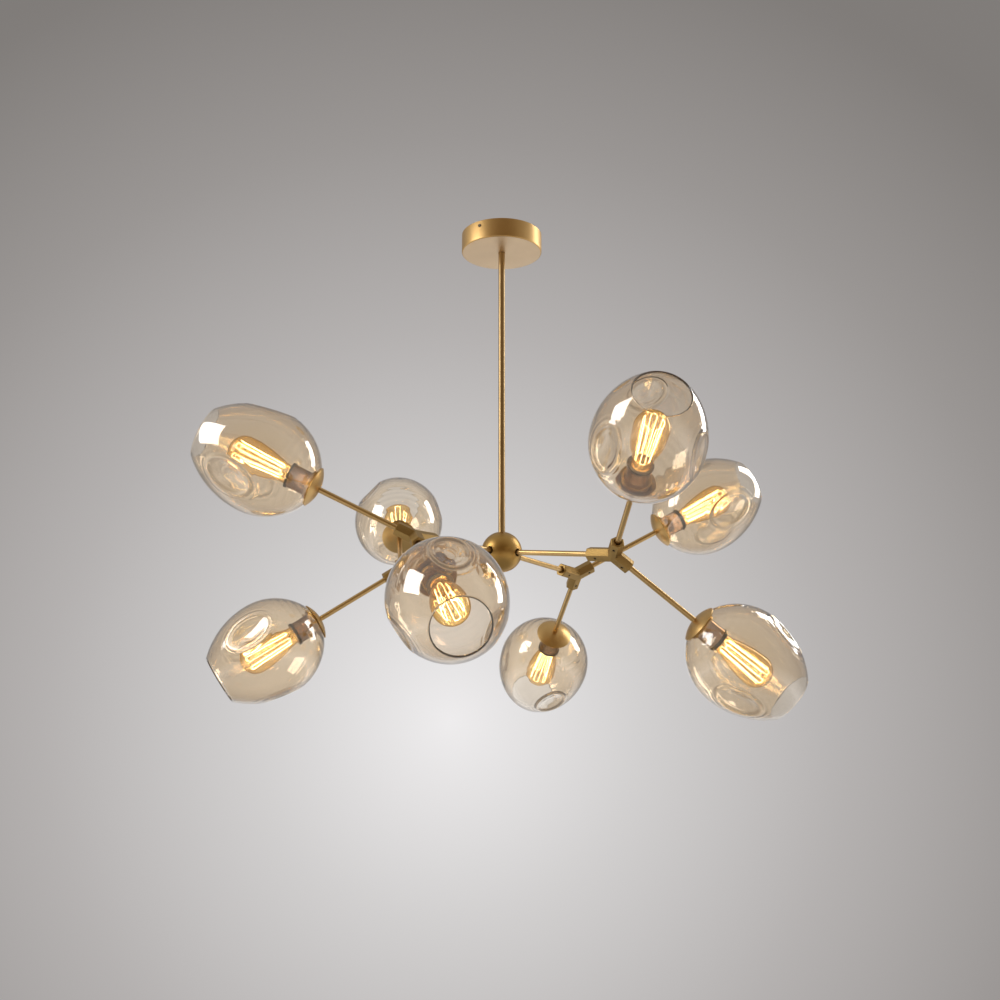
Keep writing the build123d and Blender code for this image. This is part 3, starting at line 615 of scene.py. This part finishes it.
def spun(outline, turns=TURNS):
    """The grid of points that an outline of (radius, height) makes about the Z axis."""
    angles = np.arange(turns) * 2 * math.pi / turns
    radius, height = np.array([tuple(point) for point in outline]).T
    grid = np.empty((len(outline), turns, 3))
    grid[:, :, 0] = radius[:, None] * np.cos(angles)
    grid[:, :, 1] = radius[:, None] * np.sin(angles)
    grid[:, :, 2] = height[:, None]
    return grid


print("lathe:", TURNS, "points round a plain piece")

# %% Skin and place
WELD = 1e-7
METAL_SMOOTH_ANGLE = 35.0
GLASS_SMOOTH_ANGLE = 60.0


def skin(name, grid, closed, *finishes, smooth_angle=METAL_SMOOTH_ANGLE):
    """A mesh from rings of points in millimetres. A closed skin joins its last ring to its first."""
    rings, turns, _ = grid.shape
    index = np.arange(rings * turns).reshape(rings, turns)
    lower = index if closed else index[:-1]
    upper = np.roll(index, -1, axis=0) if closed else index[1:]
    corners = [lower, np.roll(lower, -1, axis=1), np.roll(upper, -1, axis=1), upper]
    faces = np.stack(corners, axis=-1).reshape(-1, 4)
    mesh = bpy.data.meshes.new(name)
    mesh.from_pydata((grid.reshape(-1, 3) * MM).tolist(), [], faces.tolist())
    shape = bmesh.new()
    shape.from_mesh(mesh)
    bmesh.ops.remove_doubles(shape, verts=shape.verts, dist=WELD)
    bmesh.ops.delete(shape, geom=[edge for edge in shape.edges if edge.is_wire], context="EDGES")
    bmesh.ops.recalc_face_normals(shape, faces=shape.faces)
    shape.to_mesh(mesh)
    shape.free()
    mesh.shade_smooth()
    mesh.set_sharp_from_angle(angle=math.radians(smooth_angle))
    for finish in finishes:
        mesh.materials.append(FINISH[finish])
    return mesh


def put(name, mesh, body, place=None):
    """A new piece that rides on a body. Its place is in its mesh, so its box is a true one."""
    if place is not None:
        mesh = mesh.copy()
        mesh.transform(place)
    piece = bpy.data.objects.new(name, mesh)
    bpy.context.scene.collection.objects.link(piece)
    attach(piece, body)
    return piece


print("skin: edges sharper than", METAL_SMOOTH_ANGLE, "degrees stay crisp on metal")

# %% [markdown]
# ## The canopy
# The canopy is a shallow spun cup that hides the ceiling fixing. Light runs along its rounded lower edge as
# one thin bright line, so that edge needs a true round. The upper rim and the stem's hole only have small
# broken edges. The flat face below gets a paler copy of the brass, a painted reflection of the pale light
# it mirrors from below.

# %% Canopy
CANOPY_R = 62.0
CANOPY_HEIGHT = 30.0
CANOPY_WALL = 1.2
CANOPY_TURNS = 192
STEM_HOLE_R = 5.3
# faces whose normals point further down than this get the painted reflection
CANOPY_PAINTED_REFLECTION_TILT = -0.95  # normals that point further down belong to the bright flat face


def canopy_outline():
    """The cup's section: outside down, across the bottom to the stem's hole, and back up inside."""
    inner_r = CANOPY_R - CANOPY_WALL
    bottom = -CANOPY_HEIGHT
    inside = bottom + CANOPY_WALL
    return rounded([
        (inner_r, 0, 0.3),
        (CANOPY_R, 0, 0.5),
        (CANOPY_R, bottom, 2.2),
        (STEM_HOLE_R, bottom, 0.4),
        (STEM_HOLE_R, inside, 0.4),
        (inner_r, inside, 1.0),
    ], steps=6)


def make_canopy():
    """The cup, with a paler brass painted on its face below as the reflection of the pale light there."""
    grid = spun(canopy_outline(), CANOPY_TURNS)
    canopy = put("canopy_cup", skin("canopy_cup", grid, True, "canopy_brass", "canopy_painted_reflection_brass"), "canopy")
    for face in canopy.data.polygons:
        face.material_index = 1 if face.normal.z < CANOPY_PAINTED_REFLECTION_TILT else 0
    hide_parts("canopy")
    print("canopy:", len(canopy.data.polygons), "faces")


make_canopy()

# %% [markdown]
# ## Hubs with broken edges
# A milled hub has crisp edges, yet every real edge is broken by a file, and that narrow band catches a line
# of light. The solid has knife edges. A bevel needs clean faces, so we copy the solid's mesh, weld it, merge
# its flat triangles into whole faces, and bevel the edges that turn sharply.

# %% Hubs
HUB_EDGE = 0.45
HUB_EDGE_ANGLE = 25.0
HUB_FLAT_ANGLE = 1.0
HUB_WELD = 1e-6


def make_hub(number):
    """A bevelled copy of one hub's solid."""
    mesh = NODES[f"hub_{number}"].data.copy()
    shape = bmesh.new()
    shape.from_mesh(mesh)
    bmesh.ops.remove_doubles(shape, verts=shape.verts, dist=HUB_WELD)
    flat = math.radians(HUB_FLAT_ANGLE)
    bmesh.ops.dissolve_limit(shape, angle_limit=flat, verts=shape.verts, edges=shape.edges)
    shape.to_mesh(mesh)
    shape.free()
    hub = put(f"hub_block_{number}", mesh, f"hub_{number}")
    mesh.shade_smooth()
    mesh.set_sharp_from_angle(angle=math.radians(HUB_EDGE_ANGLE))
    bevel = hub.modifiers.new("broken edges", "BEVEL")
    bevel.width = HUB_EDGE * MM
    bevel.segments = 2
    bevel.limit_method = "ANGLE"
    bevel.angle_limit = math.radians(HUB_EDGE_ANGLE)
    bevel.harden_normals = True
    dress(hub, "hub_brass")
    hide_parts(f"hub_{number}")
    print("hub", number, "has", len(mesh.polygons), "faces before its bevel")


for number in range(1, HUB_COUNT + 1):
    make_hub(number)

# %% [markdown]
# ## Cap and ring
# A dished brass cap covers the top of each shade. Under it a threaded ring on the lamp holder clamps the
# glass against the cap. Both show through the glass, so their sections follow the real parts. A cap could
# be cut from a ball, but three points of its section fix its dish better, so an arc through them is spun.

# %% Cap and ring
ARM_R = 4.05
CAP_R = 28.5
CAP_RIM = 1.2
CAP_HEIGHT = 9.5
CAP_SHOULDER = (18.0, -6.6)
CAP_WALL = 1.2
CAP_STEPS = 24
RING_R = 20.5
RING_BORE_R = 17.05
RING_TOP = 0.27
RING_HEIGHT = 8.0
RING_END = RING_TOP + RING_HEIGHT
RING_GROOVE = 0.4


def arc_through(start, middle, end, steps):
    """Points on the circle through three points, from the start to the end."""
    (ax, ay), (bx, by), (cx, cy) = start, middle, end
    twice = 2 * (ax * (by - cy) + bx * (cy - ay) + cx * (ay - by))
    a, b, c = ax * ax + ay * ay, bx * bx + by * by, cx * cx + cy * cy
    centre = Vector(((a * (by - cy) + b * (cy - ay) + c * (ay - by)) / twice,
                     (a * (cx - bx) + b * (ax - cx) + c * (bx - ax)) / twice))
    first = Vector(start) - centre
    turn = first.angle_signed(Vector(end) - centre)
    return [centre + Matrix.Rotation(-turn * step / steps, 2) @ first for step in range(steps + 1)]


def cap_outline():
    """The dished cap: from the rim over its outside to the arm's hole, and back inside to a round lip."""
    shoulder_in = (CAP_SHOULDER[0], CAP_SHOULDER[1] + CAP_WALL)
    outside = arc_through((CAP_R, -CAP_RIM), CAP_SHOULDER, (ARM_R, -CAP_HEIGHT), CAP_STEPS)
    inside = arc_through((ARM_R, -CAP_HEIGHT + CAP_WALL), shoulder_in, (CAP_R - CAP_WALL, -0.2), CAP_STEPS)
    lip = [(CAP_R - 0.9, 0.0), (CAP_R - 0.35, 0.0), (CAP_R, -0.4)]
    return outside + inside + [Vector(point) for point in lip]


def ring_outline():
    """The clamping ring, with broken edges and a shallow groove round its middle."""
    middle = (RING_TOP + RING_END) / 2
    return rounded([
        (RING_BORE_R, RING_TOP, 0.2),
        (RING_R, RING_TOP, 0.5),
        (RING_R, middle - 0.7, 0.2),
        (RING_R - RING_GROOVE, middle - 0.3, 0.2),
        (RING_R - RING_GROOVE, middle + 0.3, 0.2),
        (RING_R, middle + 0.7, 0.2),
        (RING_R, RING_END, 0.8),
        (RING_BORE_R, RING_END, 0.4),
    ], steps=3)


CAP_MESH = skin("cap", spun(cap_outline()), True, "cap_brass")
RING_MESH = skin("ring", spun(ring_outline()), True, "ring_brass")
print("cap:", len(CAP_MESH.polygons), "faces, ring:", len(RING_MESH.polygons), "faces")

# %% [markdown]
# ## Lamp holder
# The lamp holder hangs on a nipple under the cap. Its skirt reaches into the shade and ends in a black rim,
# and its bore is the copper shell that the bulb screws into. Three pieces could be made, but they never move
# apart, so one section is spun and its faces take a finish by where they lie.

# %% Lamp holder
HOLDER_TOP = -4.0
HOLDER_THREAD_R = 17.0
HOLDER_SKIRT_R = 16.5
HOLDER_END = 37.0
HOLDER_RIM_R = 17.9
HOLDER_RIM_HEIGHT = 3.0
HOLDER_BORE_R = 13.55
HOLDER_FLOOR = 8.7
NIPPLE_R = 6.5
NIPPLE_TOP = -7.7


def holder_outline():
    """The socket's section: nipple, thread, skirt, rim, then down the bore to its floor."""
    rim = HOLDER_END - HOLDER_RIM_HEIGHT
    return rounded([
        (ARM_R, NIPPLE_TOP, 0.2),
        (NIPPLE_R, NIPPLE_TOP, 0.4),
        (NIPPLE_R, HOLDER_TOP, 0.3),
        (HOLDER_THREAD_R, HOLDER_TOP, 0.6),
        (HOLDER_THREAD_R, RING_END, 0.3),
        (HOLDER_SKIRT_R, RING_END + 0.5, 0.3),
        (HOLDER_SKIRT_R, rim - 0.6, 0.4),
        (HOLDER_RIM_R, rim, 0.5),
        (HOLDER_RIM_R, HOLDER_END, 0.8),
        (HOLDER_BORE_R, HOLDER_END, 0.5),
        (HOLDER_BORE_R, HOLDER_FLOOR, 0.3),
        (ARM_R, HOLDER_FLOOR, 0),
    ], steps=3)


def make_holder_mesh():
    """The socket, bronze outside, black at its rim and copper in its bore."""
    mesh = skin("holder", spun(holder_outline()), True, "holder_bronze", "holder_rim", "holder_copper")
    for face in mesh.polygons:
        radius = math.hypot(face.center.x, face.center.y) / MM
        height = face.center.z / MM
        in_bore = radius < HOLDER_BORE_R + 0.1 and HOLDER_FLOOR - 0.1 < height < HOLDER_END - 0.6
        at_rim = height > HOLDER_END - HOLDER_RIM_HEIGHT - 0.8
        face.material_index = 2 if in_bore else 1 if at_rim else 0
    return mesh


HOLDER_MESH = make_holder_mesh()
print("holder:", len(HOLDER_MESH.polygons), "faces in", len(HOLDER_MESH.materials), "finishes")

# %% [markdown]
# ## The metal of eight lamps
# The same three meshes go to each lamp's place and ride on its hub. The frame has one node for both caps
# of a hub, one for both rings and one for both holders, so two copies stand for the same node.

# %% Place caps, rings and holders
LAMP_METAL = (  # piece, mesh, node, slot
    ("cap", CAP_MESH, "shade_caps", "cap_brass"),
    ("ring", RING_MESH, "shade_rings", "ring_brass"),
    ("holder", HOLDER_MESH, "lamp_holders", "holder_bronze"),
)

for number, place in LAMP_PLACES.items():
    hub = hub_of(number)
    for name, mesh, node, slot in LAMP_METAL:
        piece = put(f"{name}_{number}", mesh, f"hub_{hub}", place)
        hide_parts(f"{node}_{hub}")
print("placed metal of", LAMP_COUNT, "lamps")

# %% [markdown]
# ## The bubble of a shade
# A glassblower blows the bubble, presses three oval dents into it while it is soft, and cuts the mouth. The
# bubble is an egg: one arc makes its crown, and a longer one narrows it to the mouth. A stretched ball would
# not have that shape, so the two arcs are written out, with the normals that the dents need later.

# %% Shade bubble
SHADE_R = 75.0
SHADE_CROWN_R = 86.0
SHADE_NARROWING_R = 127.6
SHADE_BELLY = 77.3
SHADE_MOUTH_R = 38.0
SHADE_HOLE_R = 17.3
SHADE_WALL = 2.5
CROWN_X = SHADE_R - SHADE_CROWN_R
NARROWING_X = SHADE_R - SHADE_NARROWING_R
MOUTH_FALL = math.sqrt(SHADE_NARROWING_R**2 - (SHADE_MOUTH_R - NARROWING_X) ** 2)
MOUTH_TURN = math.asin((MOUTH_FALL - SHADE_WALL / 2) / (SHADE_NARROWING_R - SHADE_WALL / 2))


def bubble(inset, crown_steps=80, narrowing_steps=72):
    """Points and outward normals of the smooth bubble, moved in by a wall, from its hole to its mouth."""
    crown_r = SHADE_CROWN_R - inset
    hole_turn = math.acos((SHADE_HOLE_R - CROWN_X) / crown_r)
    arcs = (
        (CROWN_X, crown_r, np.linspace(-hole_turn, 0, crown_steps)),
        (NARROWING_X, SHADE_NARROWING_R - inset, np.linspace(0, MOUTH_TURN, narrowing_steps)[1:]),
    )
    points, normals = [], []
    for centre, radius, turns in arcs:
        normals.append(np.stack([np.cos(turns), np.sin(turns)], axis=-1))
        points.append(normals[-1] * radius + (centre, SHADE_BELLY))
    return np.concatenate(points), np.concatenate(normals)


print("bubble: the mouth lies", round(MOUTH_FALL, 1), "mm past the belly")

# %% [markdown]
# ## Pressing the dents
# The wall keeps its thickness, so the dents show inside as bumps, and their lips are round. A boolean cut
# would leave knife edges. Instead each point of the smooth bubble is pushed in along its own normal until it
# has left the pressing barrel, with a soft maximum of the two distances, which rounds the lip.

# %% Dents
DENT_COUNT = 3
DENT_R = 40.0
DENT_LENGTH_R = 105.0
DENT_DEPTH = 9.5
DENT_DROP = 22.5  # from the belly to the dents
PRESS_STEPS = 24  # halvings in the search for a point's depth


def soft_max(a, b, reach):
    """The larger of two values, rounded where they are close."""
    blend = np.clip(reach - np.abs(a - b), 0, None) / reach
    return np.maximum(a, b) + blend**2 * reach / 4


def barrels():
    """The middle and the axis of each pressing barrel, which leans with the bubble's face."""
    slope = math.asin(DENT_DROP / SHADE_NARROWING_R)
    reach = SHADE_NARROWING_R + DENT_R - DENT_DEPTH
    middle = Vector((NARROWING_X + reach * math.cos(slope), 0, SHADE_BELLY + reach * math.sin(slope)))
    axis = Vector((-math.sin(slope), 0, math.cos(slope)))
    turns = [Matrix.Rotation(2 * math.pi * number / DENT_COUNT, 3, "Z") for number in range(DENT_COUNT)]
    return [(np.array(turn @ middle), np.array(turn @ axis)) for turn in turns]


def barrel_gap(points):
    """How far points lie from the nearest barrel's face, negative inside it."""
    gaps = []
    for middle, axis in barrels():
        offset = points - middle
        along = offset @ axis
        aside = np.sqrt(np.sum(offset**2, axis=-1) - along**2)
        gaps.append(np.hypot(aside + DENT_LENGTH_R - DENT_R, along) - DENT_LENGTH_R)
    return np.min(gaps, axis=0)


def press_dents(points, normals, inset, lip):
    """Push the points of a spun bubble in along their normals until they clear the pressing barrels."""
    low = np.zeros(points.shape[:2])
    high = np.full(points.shape[:2], 2 * DENT_DEPTH)
    for _ in range(PRESS_STEPS):
        depth = (low + high) / 2
        gap = barrel_gap(points - depth[..., None] * normals)
        inside = soft_max(-depth, inset - gap, lip) > 0
        low = np.where(inside, depth, low)
        high = np.where(inside, high, depth)
    return points - ((low + high) / 2)[..., None] * normals


print("dents:", DENT_COUNT, "pressed", DENT_DEPTH, "mm deep")

# %% [markdown]
# ## Rings, ripples and the wall
# Blown glass keeps traces of its making: faint rings round a dent, and ripples near the hole from the pipe.
# A bump in the finish would be lost in the exported mesh, so the wall itself grows thick and thin here. Both
# faces are then joined by a round lip into one closed wall, which the tint inside the glass needs.

# %% Shade wall
DENT_LIP = 2.5  # how far the lip's rounding reaches outside
DENT_LIP_INSIDE = 6.0
DENT_RING_PITCH = 6.5  # rings that the press leaves, by the distance from its face
DENT_RING_DEPTH = 0.2
DENT_RING_REACH = 14.0
RIPPLE_PITCH = 9.0
RIPPLE_DEPTH = 0.12
RIPPLE_FADE = 60.0  # the height at which the ripples have died out


def dent_rings(gap):
    """How far the press's rings raise a face, by the gap between the smooth bubble and the barrel."""
    fade = np.clip(1 - np.abs(gap) / DENT_RING_REACH, 0, 1)
    return DENT_RING_DEPTH * fade * np.sin(2 * math.pi * gap / DENT_RING_PITCH)


def rippled(outline, slope):
    """The inner face near the hole, where the blowpipe's turns leave rings of thicker and thinner wall."""
    heights = outline[:, 1:]
    fade = np.clip(1 - heights / RIPPLE_FADE, 0, 1)
    return outline + slope * RIPPLE_DEPTH * fade * np.sin(2 * math.pi * heights / RIPPLE_PITCH)


def pressed_face(inset, turns, lip):
    """One face of the glass as a grid of points, with its dents. The rings make the wall thick and thin."""
    outline, slope = bubble(inset)
    if inset:
        outline = rippled(outline, slope)
    points, normals = spun(outline, turns), spun(slope, turns)
    rings = dent_rings(barrel_gap(points) - inset)[..., None] * normals
    return press_dents(points, normals, inset, lip) + (-rings if inset else rings)


def make_shade_mesh(turns=300, lip_steps=6):
    """Outer face, round lip at the mouth and inner face, joined into one closed wall."""
    outer = pressed_face(0, turns, DENT_LIP)
    inner = pressed_face(SHADE_WALL, turns, DENT_LIP_INSIDE)
    middle = (outer[-1] + inner[-1]) / 2
    half = (outer[-1] - inner[-1]) / 2
    forward = spun([(-math.sin(MOUTH_TURN), math.cos(MOUTH_TURN))], turns)[0]
    lip = []
    for step in range(1, lip_steps):
        turn = math.pi * step / lip_steps
        lip.append(middle + half * math.cos(turn) + forward * math.sin(turn) * SHADE_WALL / 2)
    grid = np.concatenate([outer, np.array(lip), inner[::-1]])
    return skin("shade", grid, True, "shade_glass", smooth_angle=GLASS_SMOOTH_ANGLE)


SHADE_MESH = make_shade_mesh()
print("shade:", len(SHADE_MESH.polygons), "faces")

# %% [markdown]
# ## Eight shades
# A shade can be fitted with its dents facing any way. The photograph shows where they are, so each copy is
# turned about its arm to match. Real glass throws hardly any shadow, but the renderer would give it a dark
# one, so the shades' shadows are off.

# %% Place shades
SHADE_TURNS = (20.0, 75.0, 99.0, 84.0, 10.0, 25.0, 28.0, 54.0)  # degrees about each arm

for number, place in LAMP_PLACES.items():
    turned = place @ Matrix.Rotation(math.radians(SHADE_TURNS[number - 1]), 4, "Z")
    shade = put(f"shade_glass_{number}", SHADE_MESH, f"hub_{hub_of(number)}", turned)
    shade.visible_shadow = False
    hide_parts(f"shade_{number}")
print("placed", LAMP_COUNT, "shades")

# %% [markdown]
# ## Bulb envelope and base
# An old-style bulb is an amber envelope on a screw base. The envelope flares smoothly from a narrow neck
# to a round tip, so a cubic curve and a quarter circle are spun. The base's thread is a real helix: each
# ring of the spun base is pulled in by an amount that follows both its height and its angle.

# %% Envelope and base
BULB_R = 24.0
BULB_LENGTH = 91.0
BULB_NECK_R = 13.0
BULB_NECK_PULL = 18.0
BULB_WAIST_PULL = 36.0
BULB_WALL = 0.8
BULB_TURNS = 64
BASE_R = 13.25
BASE_LENGTH = 26.0
BASE_EDGE = 0.3
BASE_THREAD_TOP = -1.5
BASE_THREAD_END = -BASE_LENGTH + 5
BASE_THREAD_STEPS = 60
BASE_THREAD_PITCH = 3.6
BASE_THREAD_DEPTH = 0.9
BASE_SHOULDER = (9.0, -BASE_LENGTH + 0.5)
BASE_NOSE_R = 6.0
BASE_NOSE = 2.0


def bezier(points, steps):
    """Points on a cubic curve with four control points."""
    a, b, c, d = (np.array(point, float) for point in points)
    t = np.linspace(0, 1, steps)[:, None]
    return a * (1 - t) ** 3 + 3 * b * t * (1 - t) ** 2 + 3 * c * t**2 * (1 - t) + d * t**3


def envelope_outline(inset, flare_steps=32, tip_steps=20):
    """One face of the envelope from its neck to its round tip."""
    tip_r = BULB_R - inset
    shoulder = BULB_LENGTH - BULB_R
    neck_r = BULB_NECK_R - inset
    waist = shoulder - BULB_WAIST_PULL
    pulls = [(neck_r, 0), (neck_r, BULB_NECK_PULL), (tip_r, waist), (tip_r, shoulder)]
    flare = bezier(pulls, flare_steps)
    turns = np.linspace(0, math.pi / 2, tip_steps)[1:]
    tip = np.stack([tip_r * np.cos(turns), shoulder + tip_r * np.sin(turns)], axis=-1)
    return np.concatenate([flare, tip])


def make_envelope_mesh():
    """The amber wall: outer face to the tip, then the inner face back to the neck."""
    outline = np.concatenate([envelope_outline(0), envelope_outline(BULB_WALL)[::-1]])
    grid = spun(outline, BULB_TURNS)
    return skin("bulb_envelope", grid, True, "bulb_glass", smooth_angle=GLASS_SMOOTH_ANGLE)


def make_base_mesh():
    """The screw base: collar, helical thread, shoulder and contact."""
    heights = np.linspace(BASE_THREAD_TOP, BASE_THREAD_END, BASE_THREAD_STEPS)
    contact = -BASE_LENGTH - BASE_NOSE
    collar = [(0, 0), (BASE_R - BASE_EDGE, 0), (BASE_R, -BASE_EDGE)]
    thread = [(BASE_R, height) for height in heights]
    nose = [BASE_SHOULDER, (BASE_NOSE_R, -BASE_LENGTH), (BASE_NOSE_R - 0.5, contact), (0, contact)]
    grid = spun(collar + thread + nose, BULB_TURNS)
    angles = np.arange(BULB_TURNS) * 2 * math.pi / BULB_TURNS
    for ring, height in enumerate(heights, start=len(collar)):
        wave = 0.5 - 0.5 * np.cos(2 * math.pi * height / BASE_THREAD_PITCH - angles)
        grid[ring, :, :2] *= (1 - BASE_THREAD_DEPTH * wave / BASE_R)[:, None]
    return skin("bulb_base", grid, False, "bulb_base")


ENVELOPE_MESH = make_envelope_mesh()
BASE_MESH = make_base_mesh()
print("envelope:", len(ENVELOPE_MESH.polygons), "faces, base:", len(BASE_MESH.polygons), "faces")

# %% [markdown]
# ## Stalk, hooks and filament
# Inside the bulb a glass foot carries a rod with two stars of hooks, and one long wire runs up and down
# between them. Cylinders set end to end would gape at the bends, so the wires are curves with a round bevel
# that are turned into meshes.

# %% Stalk, hooks and filament
FOOT_R = 10.0
FOOT_GAP = 0.1
STALK_R = 3.0
STALK_HEIGHT = 9.0
STALK_TURNS = 32
STALK_SMOOTH_ANGLE = 50.0
ROD_R = 0.9
ROD_TOP = 81.0
STRANDS = 10
FILAMENT_ENDS = ((9.8, 11.0), (13.5, 79.0))  # radius and height of the cage's foot and top
FILAMENT_BEND = 1.2
FILAMENT_WIRE_R = 0.21
SPOKE_R = 0.25


def tube_mesh(name, paths, radius, cyclic, finish):
    """Round wires along paths in millimetres, as one mesh."""
    curve = bpy.data.curves.new(name, "CURVE")
    curve.dimensions = "3D"
    curve.bevel_depth = radius * MM
    curve.bevel_resolution = 2
    curve.use_fill_caps = not cyclic
    for path in paths:
        line = curve.splines.new("POLY")
        line.points.add(len(path) - 1)
        for point, at in zip(line.points, path):
            point.co = (*(value * MM for value in at), 1)
        line.use_cyclic_u = cyclic
    holder = bpy.data.objects.new(name, curve)
    mesh = bpy.data.meshes.new_from_object(holder)
    bpy.data.objects.remove(holder)
    bpy.data.curves.remove(curve)
    mesh.name = name
    mesh.shade_smooth()
    mesh.materials.append(FINISH[finish])
    return mesh


def filament_path():
    """One wire up and down the cage, with a round bend over each hook."""
    path = []
    for strand in range(STRANDS):
        rising = strand % 2 == 0
        angle = 2 * math.pi * strand / STRANDS
        ends = FILAMENT_ENDS if rising else FILAMENT_ENDS[::-1]
        for radius, height in ends:
            path.append((radius * math.cos(angle), radius * math.sin(angle), height))
        radius, height = ends[1]
        bend = angle + math.pi / STRANDS
        lift = FILAMENT_BEND if rising else -FILAMENT_BEND
        path.append((radius * math.cos(bend), radius * math.sin(bend), height + lift))
    return path


def spoke_paths():
    """The hooks: a star at the top of the cage and one at its foot."""
    paths = []
    for strand in range(STRANDS):
        radius, height = FILAMENT_ENDS[1 if strand % 2 == 0 else 0]
        bend = 2 * math.pi * (strand + 0.5) / STRANDS
        paths.append([(0, 0, height), (radius * math.cos(bend), radius * math.sin(bend), height)])
    return paths


def make_stalk_mesh():
    """The clear glass foot and stalk with its rod."""
    foot = [(0, FOOT_GAP), (FOOT_R, FOOT_GAP), (FOOT_R - 1, 1.5), (STALK_R + 0.6, STALK_HEIGHT / 2)]
    stalk = [(STALK_R, STALK_HEIGHT - 1), (STALK_R - 1, STALK_HEIGHT)]
    rod = [(ROD_R, STALK_HEIGHT + 0.3), (ROD_R, ROD_TOP), (0, ROD_TOP + 0.6)]
    grid = spun(foot + stalk + rod, STALK_TURNS)
    return skin("bulb_stalk", grid, False, "stalk_glass", smooth_angle=STALK_SMOOTH_ANGLE)


FILAMENT_MESH = tube_mesh("filament", [filament_path()], FILAMENT_WIRE_R, True, "filament")
SPOKE_MESH = tube_mesh("spokes", spoke_paths(), SPOKE_R, False, "spoke_steel")
STALK_MESH = make_stalk_mesh()
print("filament:", STRANDS, "strands,", len(FILAMENT_MESH.polygons), "faces")

# %% [markdown]
# ## Eight glowing bulbs
# A bulb's pieces ride on the bulb's own body, so they come out of the holder together. The thin wire alone
# would light the brass with much grain in the picture, so each bulb has a small warm point light as well. It
# rides on the envelope, and neither the camera nor mirrors and glass see it.

# %% Place bulbs
BULB_LIGHT_HEIGHT = 45.0
BULB_LIGHT_POWER = 0.8
BULB_LIGHT_COLOUR = (1.0, 0.70, 0.38)
BULB_LIGHT_R = 0.01


def put_glow(number, envelope, place):
    """The warm light that a bulb sheds."""
    glow = bpy.data.lights.new(f"bulb_glow_{number}", "POINT")
    glow.energy = BULB_LIGHT_POWER
    glow.color = BULB_LIGHT_COLOUR
    glow.shadow_soft_size = BULB_LIGHT_R
    lamp = bpy.data.objects.new(f"bulb_glow_{number}", glow)
    lamp.parent = envelope
    lamp.location = place @ Vector((0, 0, BULB_LIGHT_HEIGHT * MM))
    lamp.visible_camera = lamp.visible_glossy = lamp.visible_transmission = False
    bpy.context.scene.collection.objects.link(lamp)


BULB_PIECES = (  # piece, mesh, slot, and whether it throws a shadow
    ("bulb_envelope", ENVELOPE_MESH, "bulb_glass", False),
    ("bulb_base", BASE_MESH, "bulb_base", True),
    ("bulb_stalk", STALK_MESH, "bulb_glass", False),
    ("bulb_spokes", SPOKE_MESH, "plate_steel", True),
    ("filament", FILAMENT_MESH, "filament", False),
)


def put_bulb(number):
    """One bulb in its holder. Its envelope stands for the solid bulb of the frame."""
    place = LAMP_PLACES[number] @ Matrix.Translation((0, 0, HOLDER_END * MM))
    for name, mesh, slot, shadow in BULB_PIECES:
        piece = put(f"{name}_{number}", mesh, f"bulb_{number}", place)
        piece.visible_shadow = shadow
        if name == "bulb_envelope":
            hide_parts(f"bulb_{number}")
            put_glow(number, piece, place)


for number in LAMP_PLACES:
    put_bulb(number)
print("placed", LAMP_COUNT, "bulbs")

# %% [markdown]
# ## Light paths
# A ray that looks through a shade, a bulb, the bulb's far side and the shade's far side crosses eight faces,
# and another shade may stand behind. With too few bounces such rays end black, so the limits are raised.

# %% Bounces
cycles = bpy.context.scene.cycles
cycles.max_bounces = 24
cycles.transmission_bounces = 24
cycles.glossy_bounces = 6
cycles.diffuse_bounces = 3
print("bounces:", cycles.max_bounces)

# %% [markdown]
# ## The size of the dressed lamp
# Dressing must not change the object's size, so the box of the dressed lamp is printed beside the frame's.

# %% Size
DRESSED_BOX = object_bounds()
for name, box in (("frame", CAD_BOX), ("dressed", DRESSED_BOX)):
    print(name, "box:", [round(high - low, 4) for low, high in zip(*box)])
